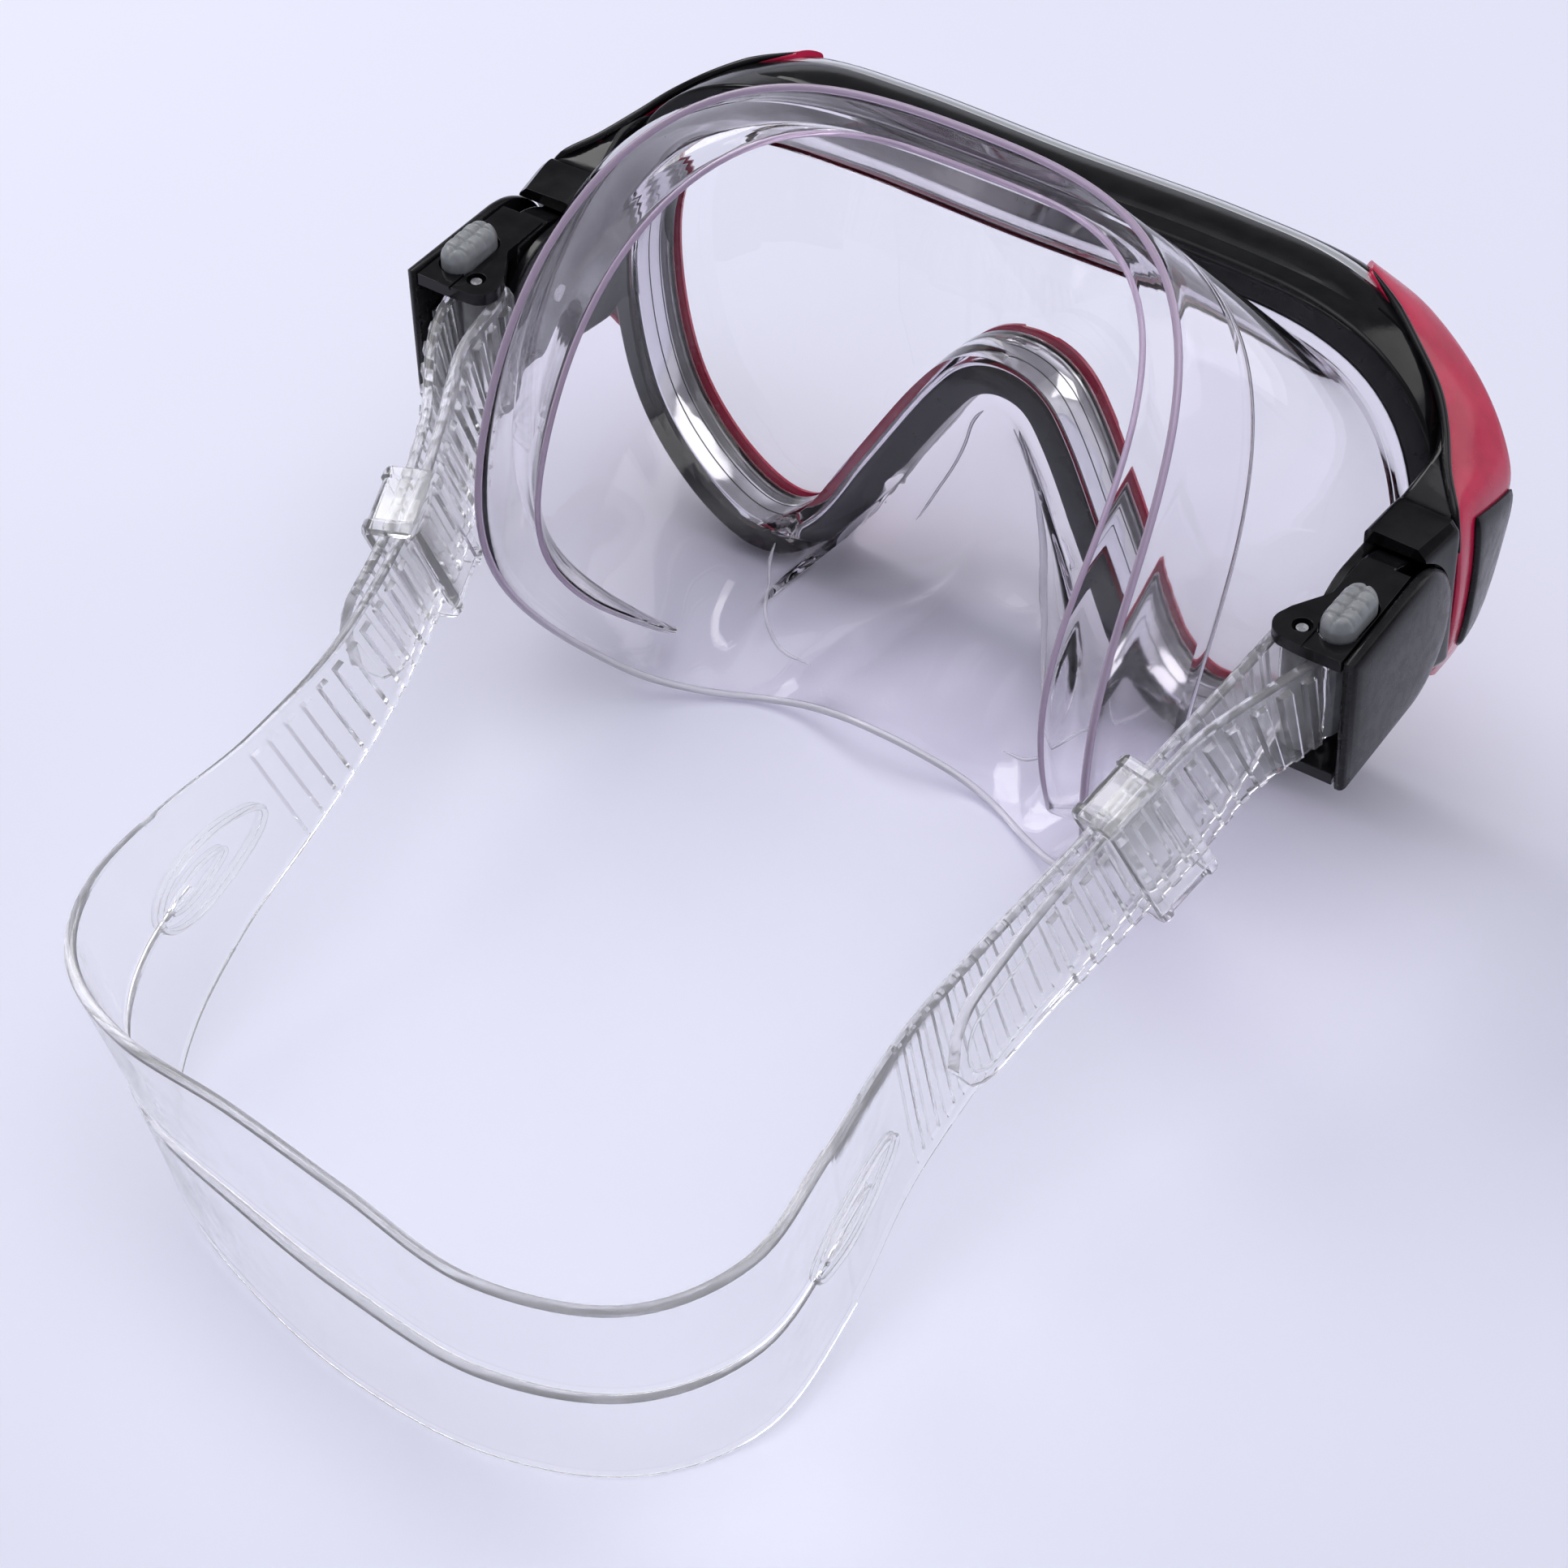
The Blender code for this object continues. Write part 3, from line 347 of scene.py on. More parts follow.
def tube(path, radius, closed=False, sides=10, taper=False):
    """Round tube along a row of points."""
    bm = bmesh.new()
    count = len(path)
    sections = []
    side = None
    for k, p in enumerate(path):
        before = path[(k - 1) % count] if closed else path[max(k - 1, 0)]
        after = path[(k + 1) % count] if closed else path[min(k + 1, count - 1)]
        run = (after - before).normalized()
        side = run.orthogonal() if side is None else side - run * side.dot(run)
        side.normalize()
        up = run.cross(side)
        r = radius
        if taper:
            edge = min(k, count - 1 - k) / max(1, count // 6)
            r = radius * (0.25 + 0.75 * min(1.0, edge))
        sections.append([p + (side * math.cos(2 * math.pi * j / sides)
                              + up * math.sin(2 * math.pi * j / sides)) * r for j in range(sides)])
    loft(bm, sections, ends="ring" if closed else "cap")
    return bm


def sheet(rows, thickness, wrap=True):
    """Closed wall round a grid of points; thickness(row, column) in millimetres."""
    last, count = len(rows) - 1, len(rows[0])

    def column(i):
        return i % count if wrap else min(max(i, 0), count - 1)

    normals = []
    for r in range(last + 1):
        line = []
        for i in range(count):
            ahead, behind = rows[r][column(i + 1)], rows[r][column(i - 1)]
            across = rows[min(r + 1, last)][i] - rows[max(r - 1, 0)][i]
            line.append((ahead - behind).normalized().cross(across.normalized()))
        normals.append(line)
    for _ in range(3):
        normals = [[sum((normals[min(max(r + a, 0), last)][column(i + b)]
                         for a in (-1, 0, 1) for b in (-1, 0, 1)), Vector()).normalized()
                    for i in range(count)] for r in range(last + 1)]

    def side(r, sign):
        return [rows[r][i] + normals[r][i] * (sign * thickness(r, i) / 2) for i in range(count)]

    def turn(r, before, sign):
        out = []
        for a in (60, 30, 0, -30, -60):
            line = []
            for i in range(count):
                half = thickness(r, i) / 2
                away = (rows[r][i] - rows[before][i]).normalized()
                line.append(rows[r][i] + normals[r][i] * (sign * half * math.sin(math.radians(a)))
                            + away * (half * math.cos(math.radians(a))))
            out.append(line)
        return out

    sections = [side(r, 1) for r in range(last + 1)] + turn(last, last - 1, 1)
    sections += [side(r, -1) for r in range(last, -1, -1)] + turn(0, 1, -1)
    bm = bmesh.new()
    grid = loft(bm, sections, ends="ring", wrap=wrap)
    if not wrap:
        total = len(grid)
        for i in (0, count - 1):
            low, high = 0, total - 1
            while high - low > 2:
                bm.faces.new((grid[low][i], grid[low + 1][i], grid[high - 1][i], grid[high][i]))
                low, high = low + 1, high - 1
            if high - low == 2:
                bm.faces.new((grid[low][i], grid[low + 1][i], grid[high][i]))
    return bm


# ---- lens plane ----

def lens_place(u, v, back):
    return Vector((u, LENS_Y + v * math.sin(LENS_TILT) - back * math.cos(LENS_TILT),
                   v * math.cos(LENS_TILT) + back * math.sin(LENS_TILT)))


def window_loop():
    mirrored = [(-WINDOW[1][0], WINDOW[1][1])] + WINDOW + [(-WINDOW[-2][0], WINDOW[-2][1])]
    half = catmull(mirrored, SAMPLES)[SAMPLES:-SAMPLES]
    places = [k / SAMPLES for k in range(len(half))]
    return half + [(-u, v) for u, v in reversed(half[1:-1])], places + list(reversed(places[1:-1]))


LOOP, PLACES = window_loop()


def notch_share(place):
    return smooth_step((place - LOBE) / NOTCH_BLEND)


def moved_out(i, amount):
    """Point i of the window's outline moved outward."""
    (u, v), ahead, behind = LOOP[i], LOOP[(i + 1) % len(LOOP)], LOOP[i - 1]
    du, dv = ahead[0] - behind[0], ahead[1] - behind[1]
    length = math.hypot(du, dv)
    return u - dv / length * amount, v + du / length * amount


def grown(outside, notch=None):
    """The window outline moved outward, by a second amount inside the notch."""
    notch = outside if notch is None else notch
    return [moved_out(i, outside + (notch - outside) * notch_share(place)) for i, place in enumerate(PLACES)]


def profile_ring(name, profile, finish, node):
    """Ring round the window; the profile holds (outward, outward in the notch, back)."""
    bm = bmesh.new()
    loft(bm, [[lens_place(u, v, back) for u, v in grown(out, notch)] for out, notch, back in profile],
         ends="ring")
    piece(name, bm, finish, "mask", node, angle=32)


def rim_profile(inner, outer, notch, front, rear, radius):
    """Rounded box section with a fine parting groove on its outer wall."""
    points = []
    steps = 4
    corners = [(inner, front, 180, 270), (outer, front, 270, 360), (outer, rear, 0, 90),
               (inner, rear, 90, 180)]
    for o, b, start, end in corners:
        inside_o = o + (radius if o == inner else -radius)
        inside_b = b + (radius if b == front else -radius)
        for k in range(steps + 1):
            a = math.radians(start + (end - start) * k / steps)
            points.append((inside_o + radius * math.cos(a), inside_b + radius * math.sin(a)))
        if (o, b) == (outer, front):
            middle = front + (rear - front) * 0.3
            points += [(outer, middle - 0.3), (outer - 0.35, middle - 0.1), (outer - 0.35, middle + 0.2),
                       (outer, middle + 0.4)]
    spread = (notch - inner) / (outer - inner)
    return [(o, inner + (o - inner) * spread, b) for o, b in points]


# ---- front pieces ----

# sections of the front's pieces, as (outward, back) or (outward, outward in the notch, back)
LENS_HALF = 1.5
LENS_PROFILE = [(1.5, -1.5), (2.0, -1.35), (2.2, -1.0), (2.2, 1.0), (2.0, 1.35), (1.5, 1.5)]
BEZEL_PROFILE = [(0.0, 0.0, -1.85), (0.0, 0.0, -2.7), (0.5, 0.5, -3.3), (1.6, 1.3, -4.1), (2.4, 2.0, -4.4),
                 (6.6, 4.2, -4.4), (7.3, 4.6, -4.1), (7.6, 4.8, -3.4), (7.6, 4.8, -1.85)]


def build_front():
    profile_ring("frame_ring", rim_profile(RIM_INNER, RIM_OUTER, RIM_NOTCH, -LENS_HALF, FRAME_REAR, 0.8),
                 "black", "frame")
    profile_ring("bezel_ring", BEZEL_PROFILE, "crimson", "front_bezel")
    bm = bmesh.new()
    loft(bm, [[lens_place(u, v, back) for u, v in grown(out)] for out, back in LENS_PROFILE])
    piece("lens_pane", bm, "glass", "mask", "lens", angle=30)


WING_REAR = [(54.0, 64.2, 17.8), (60.0, 60.9, 16.2), (66.0, 57.3, 13.4), (72.0, 53.8, 9.4),
             (76.0, 49.6, 6.3), (80.0, 43.6, 3.6), (84.2, 38.6, 1.1), (86.3, 36.8, -3.5),
             (86.7, 37.1, -12.0), (86.3, 37.4, -21.0), (84.8, 39.5, -28.0), (82.0, 43.5, -34.5),
             (78.5, 47.0, -42.0)]
WING_EDGE = [(52.0, 67.6, 16.4), (60.0, 68.3, 12.4), (66.0, 67.3, 9.2), (72.0, 65.0, 6.0),
             (77.0, 62.2, 3.0), (81.0, 59.6, -0.6), (84.0, 57.0, -4.7), (84.6, 55.2, -9.5),
             (84.4, 54.0, -15.0), (83.6, 53.2, -23.0), (82.4, 52.4, -31.0), (80.8, 52.0, -38.0),
             (78.0, 50.6, -44.5)]
WING_THICKNESS, WING_BOW, WING_SAMPLES = 1.3, 0.35, 6
PAD_REACH, PAD_SHARE = (6.5, 10.1), (0.27, 1.0)
ARM = [(27.0, 74.6, 85.4, -26.0, -0.4, 83.4, 1.6), (33.0, 75.0, 86.2, -27.5, 0.0, 84.4, 1.9),
       (35.6, 75.2, 86.4, -28.0, -0.2, 84.6, 1.9), (36.4, 75.3, 85.6, -28.0, -1.8, 84.0, 1.7),
       (39.0, 75.6, 84.8, -27.5, -3.0, 82.6, 2.4), (42.0, 76.0, 83.8, -27.5, -4.0, 80.4, 3.6),
       (46.0, 76.0, 82.6, -26.0, -5.0, 77.6, 5.0), (50.5, 74.0, 81.4, -24.0, -7.0, 75.0, 6.0),
       (54.5, 73.0, 80.4, -22.0, -9.0, 73.8, 2.0)]


def wing_grid(side, shares, lift=0.0):
    """Rows of points over the wing's outer face, one row for each share of the way to its edge."""
    rear, edge = catmull(WING_REAR, WING_SAMPLES), catmull(WING_EDGE, WING_SAMPLES)
    last = len(rear) - 1
    rows = [[] for _ in shares]
    for k in range(last + 1):
        a, b = Vector(rear[k]), Vector(edge[k])
        ahead, behind = min(k + 1, last), max(k - 1, 0)
        run = Vector(rear[ahead]) + Vector(edge[ahead]) - Vector(rear[behind]) - Vector(edge[behind])
        out = run.cross(b - a).normalized()
        for row, share in zip(rows, shares):
            p = a.lerp(b, share) + out * (4 * WING_BOW * share * (1 - share) + lift)
            row.append(Vector((side * p.x, p.y, p.z)))
    return rows


def arm_body(side):
    bm = bmesh.new()
    sections = []
    for y, x0, x1, z0, z_edge, shoulder, z1 in catmull(ARM, 4):
        outline = (arc(x0 + 1.4, z0 + 1.4, 1.4, 180, 270, 4) + arc(x1 - 1.8, z0 + 2.6, 1.8, 270, 360, 4)
                   + [(x1, z_edge - 1.0), (x1 - 0.1, z_edge - 0.3)]
                   + [(x1 + (shoulder - x1) * t, z_edge + (z1 - z_edge) * t) for t in (0.15, 0.5, 0.85)]
                   + arc(x0 + 1.2, z1 - 1.2, 1.2, 90, 180, 4))
        sections.append([Vector((side * px, y, pz)) for px, pz in outline])
    loft(bm, sections)
    near, far = Vector((side * 76.3, PIVOT_Y, PIVOT_Z)), Vector((side * 92, PIVOT_Y, PIVOT_Z))
    return apply_booleans(bm, [cylinder_bm(13.2, near, far, 96)])


def cylinder_bm(radius, start, end, segments=48):
    bm = bmesh.new()
    turn = Vector((0, 0, 1)).rotation_difference(end - start).to_matrix().to_4x4()
    bmesh.ops.create_cone(bm, cap_ends=True, segments=segments, radius1=radius, radius2=radius,
                          depth=(end - start).length, matrix=Matrix.Translation((start + end) / 2) @ turn)
    return bm


def build_sides():
    for side, name in SIDES.items():
        piece("frame_arm_" + name, arm_body(side), "black", "mask", bevel=0.4)
        cheek = prism(arc(PIVOT_Y, PIVOT_Z, 11.3, 90, 270, 40) + [(30.0, -23.8), (30.0, -1.2)],
                      side * 74.6, side * 76.4, side_place)
        piece("frame_cheek_" + name, cheek, "black", "mask", bevel=0.4)
        tongue = prism(arc(PIVOT_Y, PIVOT_Z, 7.0, 90, 270, 28) + [(38.0, -19.5), (38.0, -5.5)],
                       side * 82.65, side * 84.35, side_place)
        piece("frame_tongue_" + name, tongue, "black", "mask", bevel=0.3)
        shares = [k / 10 for k in range(11)]
        shell = sheet(wing_grid(side, shares, -0.6), lambda r, i: WING_THICKNESS, wrap=False)
        piece("bezel_wing_" + name, shell, "crimson", "mask", angle=50)
        rail = tube(wing_grid(side, [-0.04], -0.1)[0][:44], 0.75, taper=True)
        piece("frame_rail_" + name, rail, "black", "mask", angle=80)
        low, high = PAD_SHARE
        rows = wing_grid(side, [low + (high - low) * k / 8 for k in range(9)], 0.3)
        first, last = (round(reach * WING_SAMPLES) for reach in PAD_REACH)
        rows = [row[first:last + 1] for row in rows]
        pad = sheet(rows, lambda r, i: 1.5 - 1.1 * abs(i / (last - first) * 2 - 1) ** 10, wrap=False)
        piece("grip_cushion_" + name, pad, "satin_black", "mask", "grip_pad_" + name, angle=50)


BROW_END = 2.3
BROW_LIP = [(10.2, 6.4), (9.3, 7.0), (7.8, 7.2), (6.2, 7.3), (5.6, 7.6), (5.2, 8.1), (3.6, 8.5), (1.6, 8.7),
            (-0.6, 8.5), (-1.6, 8.3), (-1.9, 7.8)]
# section of the painted highlight strip on the brow's black lip, as (back, outward)
BROW_HIGHLIGHT = [(-1.9, 7.9), (-2.4, 8.25), (-3.6, 8.15), (-4.4, 7.9)]
BROW_EDGE = [(-4.5, 7.7), (-5.4, 7.5), (-6.4, 6.9), (-6.7, 6.2)]


def build_brow():
    """Front lip of the frame over the top of the bezel, between the two wings, with a painted highlight strip
    along it.
    """
    samples = [i for i, place in enumerate(PLACES) if place <= BROW_END]
    half = len(PLACES) // 2
    order = [i for i in samples if i > half] + [i for i in samples if i <= half]

    def line(back, out):
        row = []
        for i in order:
            fade = smooth_step((BROW_END - PLACES[i]) / 0.9)
            row.append(lens_place(*moved_out(i, 7.0 + (out - 7.0) * (0.2 + 0.8 * fade)), back))
        return row

    def even(r, i):
        return 1.2

    def narrowed(r, i):
        return 0.25 + 0.75 * smooth_step((BROW_END - PLACES[order[i]]) / 0.6)

    for name, profile, thickness, key, angle in (
            ("frame_brow", BROW_LIP, even, "black", 25), ("frame_brow_painted_highlight", BROW_HIGHLIGHT, narrowed, "brow_highlight", 60),
            ("frame_brow_edge", BROW_EDGE, narrowed, "black", 60)):
        shell = sheet([line(back, out) for back, out in profile], thickness, wrap=False)
        piece(name, shell, key, "mask", angle=angle)


# ---- skirt ----

FACE_LOWER = [(-8, 7.2, -4.8), (0, 7.0, -4.5), (8, 7.2, -4.8), (16, 7.0, -5.2), (24, 5.2, -5.2),
              (32, 2.6, -4.9), (40, 0.6, -3.8), (48, 0.0, -1.6), (54, 0.0, -0.2), (58, 0.0, 0.0),
              (62, 0.0, 0.0)]
LOWER_SHIFT = catmull(FACE_LOWER, 8)[8:]
# raised folds beside the nose: name, radius, then (row, columns from the middle) over the wall's grid
SEAM = ("seam", 0.35, [(1, -36), (3, -34), (7, -29), (11, -25), (13, -22), (14, -18)])
LONG_FOLD = ("fold", 0.75, [(0.2, -9), (1, -13), (3, -10.5), (5, -8), (8, -9), (10, -15), (11, -22)])
SHORT_FOLD = ("fold", 0.3, [(0.2, -4), (1, -11), (3, -16), (5, -18)])
CREASES = {"right": [LONG_FOLD, SEAM], "left": [SHORT_FOLD, SEAM]}


def lower_shift(x):
    """Set of the edge below the eyes: forward and down under the nose."""
    for (x0, y0, z0), (x1, y1, z1) in zip(LOWER_SHIFT, LOWER_SHIFT[1:]):
        if x <= x1:
            t = (x - x0) / (x1 - x0)
            return y0 + (y1 - y0) * t, z0 + (z1 - z0) * t
    return 0.0, 0.0


def face_edge(angle):
    c, s = math.cos(math.radians(angle)), math.sin(math.radians(angle))
    x = FACE_HALF_WIDTH * math.copysign(abs(c) ** FACE_SQUARENESS, c)
    reach = FACE_TOP if s > 0 else FACE_BOTTOM
    z = FACE_MID_Z + reach * math.copysign(abs(s) ** FACE_SQUARENESS, s)
    if s < 0:
        z += 6.7 * math.exp(-(x / 18.0) ** 2) * s * s
    rise = (z - FACE_MID_Z) / 50
    bow = 8.2 * (1 - (x / FACE_HALF_WIDTH) ** 2)
    y = FACE_TEMPLE_Y + bow + 17.9 * rise + 27.8 * rise * rise
    if s < 0:
        ahead, down = lower_shift(abs(x))
        fade = smooth_step(-s / 0.5)
        y, z = y + ahead * fade, z + down * fade
    return Vector((x, y, z))


def face_row():
    fine = [face_edge(90 - 180 * k / 720) for k in range(721)]
    lengths = [0.0]
    for a, b in zip(fine, fine[1:]):
        lengths.append(lengths[-1] + (b - a).length)
    row = []
    half = len(PLACES) // 2
    last = len(WINDOW) - 1
    for k, place in enumerate(PLACES):
        share = 0.79 * place / LOBE if place <= LOBE else 0.79 + 0.21 * (place - LOBE) / (last - LOBE)
        target = share * lengths[-1]
        i = max(j for j, reach in enumerate(lengths) if reach <= target + 1e-9)
        j = min(i + 1, 720)
        gap = max(lengths[j] - lengths[i], 1e-9)
        p = fine[i].lerp(fine[j], min((target - lengths[i]) / gap, 1.0))
        row.append(Vector((p.x if k <= half else -p.x, p.y, p.z)))
    return row


def skirt_rows():
    face = face_row()
    sill = grown(0.9)
    rows = [[lens_place(u, v, back) for u, v in sill] for back in (2.5, 5.0, 8.0, FRAME_REAR + 1.6)]
    clear = grown(0.9, 8.7)
    start = [lens_place(u, v, FRAME_REAR + 1.95) for u, v in clear]
    rows.append([(a + b) / 2 + Vector((0, -1.2, 0)) for a, b in zip(rows[-1], start)])
    rows.append(start)
    steps = 16
    wall = [start]
    for k in range(1, steps + 1):
        t = k / steps
        hump = math.sin(math.pi * min(t, 0.9999)) ** 1.15
        row = []
        for a, b, place in zip(start, face, PLACES):
            nose = smooth_step((place - LOBE - NOTCH_BLEND) / 2.2)
            bulge = Vector((0, 23.0, -16.5)) * (nose * hump)
            belly = Vector((a.x, 0, 0)).normalized() * (1 - nose) * 4 * hump
            row.append(a.lerp(b, t) + bulge + belly)
        rows.append(row)
        wall.append(row)
    return rows, wall, face


def build_skirt():
    rows, wall, face = skirt_rows()
    sill = len(rows) - len(wall) + 1

    def thickness(r, i):
        if r < sill:
            return 2.5 - 0.9 * smooth_step((r - 2) / 3)
        t = (r - sill) / (len(wall) - 1)
        return 1.6 - 0.5 * smooth_step(t)

    piece("skirt_wall", sheet(rows, thickness), "skirt", "mask", "skirt", angle=60)
    # painted reflection: three silvery strips with thin gaps between them line the sill in the frame's bore
    for k, (front, rear) in enumerate(((1.7, 4.3), (4.6, 7.2), (7.5, 10.3))):
        bm = bmesh.new()
        loft(bm, [[lens_place(u, v, back) for u, v in grown(out)]
                  for out, back in ((2.3, front), (2.52, front), (2.52, rear), (2.3, rear))], ends="ring")
        piece("skirt_bond_%d" % k, bm, "sheen", "mask", angle=30)
    rim = tube(face, 0.62, closed=True, sides=12)
    piece("skirt_edge_bead", rim, "rim", "mask", angle=80)
    count = len(face)
    columns = []
    for i in range(count):
        place = PLACES[i]
        share = smooth_step((LOBE + 0.6 - place) / 1.6)
        root = wall[11][i].lerp(wall[12][i], 0.5)
        inward = Vector((-face[i].x, 0, FACE_MID_Z - face[i].z)).normalized()
        tip = face[i] + inward * 10.0 + Vector((0, 3.0, 0))
        tip = root.lerp(tip, 0.08 + 0.92 * share)
        bend = root.lerp(tip, 0.5) + inward * (2.0 * share)
        points = [tuple(root), tuple(root.lerp(bend, 0.6) + inward * 0.5 * share), tuple(bend), tuple(tip)]
        columns.append([Vector(p) for p in catmull(points, 4)])
    order = [i for i in range(count // 2, count) if PLACES[i] <= LOBE + 0.4]
    order += [i for i in range(0, count // 2) if PLACES[i] <= LOBE + 0.4]
    lip = [[columns[i][k] for i in order] for k in range(len(columns[0]))]
    piece("skirt_inner_lip", sheet(lip, lambda r, i: 1.3 - 0.3 * r / (len(lip) - 1), wrap=False),
          "skirt", "mask", angle=60)
    piece("skirt_lip_bead", tube(lip[-1], 0.5, sides=12, taper=True), "rim", "mask", angle=80)
    for side, name in SIDES.items():
        for tag, radius, course in CREASES[name]:
            path = []
            for r, c in catmull(course, 6):
                low = min(int(r), len(wall) - 2)
                column = (count // 2 + side * c) % count
                first = int(math.floor(column))
                mix = column - first
                near = wall[low][first].lerp(wall[low][(first + 1) % count], mix)
                far = wall[low + 1][first].lerp(wall[low + 1][(first + 1) % count], mix)
                path.append(near.lerp(far, r - low))
            crease = tube(path, radius, sides=12, taper=True)
            piece("skirt_%s_%s" % (tag, name), crease, "fold", "mask", angle=80)


# ---- buckles ----

def pill(cx, cy, length, width, steps=12):
    radius, straight = width / 2, (length - width) / 2
    return (arc(cx, cy + straight, radius, 0, 180, steps)
            + arc(cx, cy - straight, radius, 180, 360, steps))


def plate_outline(side):
    half = [(85.8, 0.2), (85.1, 22.5), (77.0, 22.5), (77.0, 13.0), (73.4, 7.2)]
    half += arc(76.0, 4.0, 3.6, 150, 250, 8) + [(78.6, 0.2)]
    return [(side * x, y) for x, y in half]


def pin_bore(side):
    """Bore for the roller's pin through a plate."""
    return cylinder_bm(1.6, Vector((side * ROLLER_X, ROLLER_Y, -30)), Vector((side * ROLLER_X, ROLLER_Y, 5)))


def build_chassis(side, name):
    body = "buckle_" + name
    top = prism(plate_outline(side), -PLATE, 0.0, plan_place)
    slot = prism(pill(side * BUTTON_X, BUTTON_Y, 12.3, 6.6), -5.2, 1.0, plan_place)
    seam = prism([(side * 79.0, -1.0), (side * 79.4, -1.0), (side * 79.4, 6.2), (side * 79.0, 6.2)],
                 -0.5, 1.0, plan_place)
    top = apply_booleans(top, [slot, pin_bore(side), seam])
    piece("buckle_top_" + name, top, "black", body, "buckle_chassis_" + name, bevel=0.35)
    bottom = prism(plate_outline(side), -BUCKLE_HEIGHT, PLATE - BUCKLE_HEIGHT, plan_place)
    piece("buckle_bottom_" + name, apply_booleans(bottom, [pin_bore(side)]), "black", body, bevel=0.35)
    lug = prism([(15.4, -0.8), (15.4, -24.2)] + arc(PIVOT_Y, PIVOT_Z, 12.3, -80, 80, 40),
                side * 76.8, side * 82.3, side_place)
    piece("buckle_lug_" + name, lug, "black", body, bevel=0.4)


def build_cover(side, name):
    def outline(inset):
        radius = 12.7 - inset
        return ([(inset, PIVOT_Z + radius), (inset, PIVOT_Z - radius)]
                + arc(PIVOT_Y, PIVOT_Z, radius, -90, 90, 48))

    bm = bmesh.new()
    levels = [(0.3, 86.0), (0.0, 86.3), (0.0, 87.0), (0.15, 87.5), (0.5, 87.9), (1.2, 88.2), (2.6, 88.45),
              (5.0, 88.65), (8.0, 88.75)]
    loft(bm, [[Vector((side * x, y, z)) for y, z in outline(inset)] for inset, x in levels])
    lean = math.tan(math.radians(3.0))
    for v in bm.verts:
        v.co.x += side * (7 - v.co.y) * lean * 0.5
    piece("cover_shield_" + name, bm, "satin_black", "buckle_" + name, "buckle_cover_" + name, angle=60)


def build_roller(side, name):
    low, high = PLATE - BUCKLE_HEIGHT + 0.4, -PLATE - 0.4
    bm = bmesh.new()
    segments = 48
    rows = [(1.3, low), (2.3, low), (ROLLER_R, low + 0.4), (ROLLER_R, high - 0.4), (2.3, high), (1.3, high)]
    loft(bm, [[Vector((side * ROLLER_X + r * math.cos(2 * math.pi * k / segments),
                       ROLLER_Y + r * math.sin(2 * math.pi * k / segments), z)) for k in range(segments)]
              for r, z in rows], ends="ring")
    piece("roller_tube_" + name, bm, "roller", "roller_" + name, "roller_" + name)


def build_button(side, name):
    """Segmented pill: one lengthwise groove and four cross grooves."""
    long, wide, base, rise = 11.5, 5.8, -0.4, 3.9
    radius = wide / 2
    along, across = 96, 28
    bm = bmesh.new()
    grooves = [(-1.5 + k) * 2.3 for k in range(4)]
    top = []
    for i in range(along + 1):
        y = -long / 2 + long * (0.5 - 0.5 * math.cos(math.pi * i / along))
        over = max(0.0, abs(y) - (long / 2 - radius))
        half = math.sqrt(max(radius * radius - over * over, 0.0004))
        row = []
        for j in range(across + 1):
            s = -math.cos(math.pi * j / across)
            x = half * s
            rim = min(radius - abs(x) if over == 0 else radius - math.hypot(x, over), 1.6) / 1.6
            dome = (1 - (1 - max(rim, 0.0)) ** 2.2) ** 0.6
            cut = 0.55 * math.exp(-(x / 0.32) ** 2)
            cut += sum(0.5 * math.exp(-((y - g) / 0.3) ** 2) for g in grooves)
            z = base + 1.6 + (rise - 1.6) * dome - cut * max(dome, 0.0) * 0.9
            row.append(Vector((side * BUTTON_X + x, BUTTON_Y + y, z)))
        top.append(row)
    grid = [[bm.verts.new(p) for p in row] for row in top]
    for a, b in zip(grid, grid[1:]):
        for j in range(across):
            bm.faces.new((a[j], a[j + 1], b[j + 1], b[j]))
    border = ([row[0] for row in grid] + grid[-1][1:] + [row[-1] for row in reversed(grid[:-1])]
              + list(reversed(grid[0][1:-1])))
    lower = [bm.verts.new((v.co.x, v.co.y, base)) for v in border]
    count = len(border)
    for k in range(count):
        bm.faces.new((border[k], border[(k + 1) % count], lower[(k + 1) % count], lower[k]))
    bm.faces.new(lower)
    piece("button_cap_" + name, bm, "grey", "button_" + name, "release_button_" + name, angle=70)


def keep_cad(node, finish):
    """Give a CAD node that stays its finished material."""
    mat, slot = FINISHES[finish]
    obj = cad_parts[node]
    obj.data.materials.clear()
    obj.data.materials.append(mat)


# ---- strap ----

def strap_frame(place):
    place = min(max(place, 0.05), len(STRAP) - 1.05)
    here = curve_at(STRAP, place)
    ahead, behind = curve_at(STRAP, place + 0.05), curve_at(STRAP, place - 0.05)
    run = (Vector(ahead[:3]) - Vector(behind[:3])).normalized()
    up = Vector((here[3], here[4], 1.0))
    up = (up - run * up.dot(run)).normalized()
    return Vector(here[:3]), run, run.cross(up), up, here[5]


def main_stations():
    """Dense stations of the loop: middle, ribbed side, up, width; from the left roller to the right."""
    last = len(STRAP) - 1
    count = last * STATIONS
    out = []
    for k in range(count + 1):
        middle, _, outward, up, width = strap_frame(last * k / count)
        if k in (0, count):
            side = -1 if k == 0 else 1
            middle = Vector((side * (ROLLER_X - STRAP_TURN_R), ROLLER_Y, STRAP_Z))
            outward, up = Vector((side, 0, 0)), Vector((0, 0, 1))
        out.append((middle, -outward, up, width))
    return out


def turn_stations(side):
    """The half turn round a roller."""
    out = []
    steps = 24
    for k in range(1, steps):
        a = math.pi * k / steps
        ray = Vector((-side * math.cos(a), math.sin(a), 0))
        middle = Vector((side * ROLLER_X, ROLLER_Y, STRAP_Z)) + ray * STRAP_TURN_R
        out.append((middle, ray, Vector((0, 0, 1)), STRAP_WIDTH))
    return out


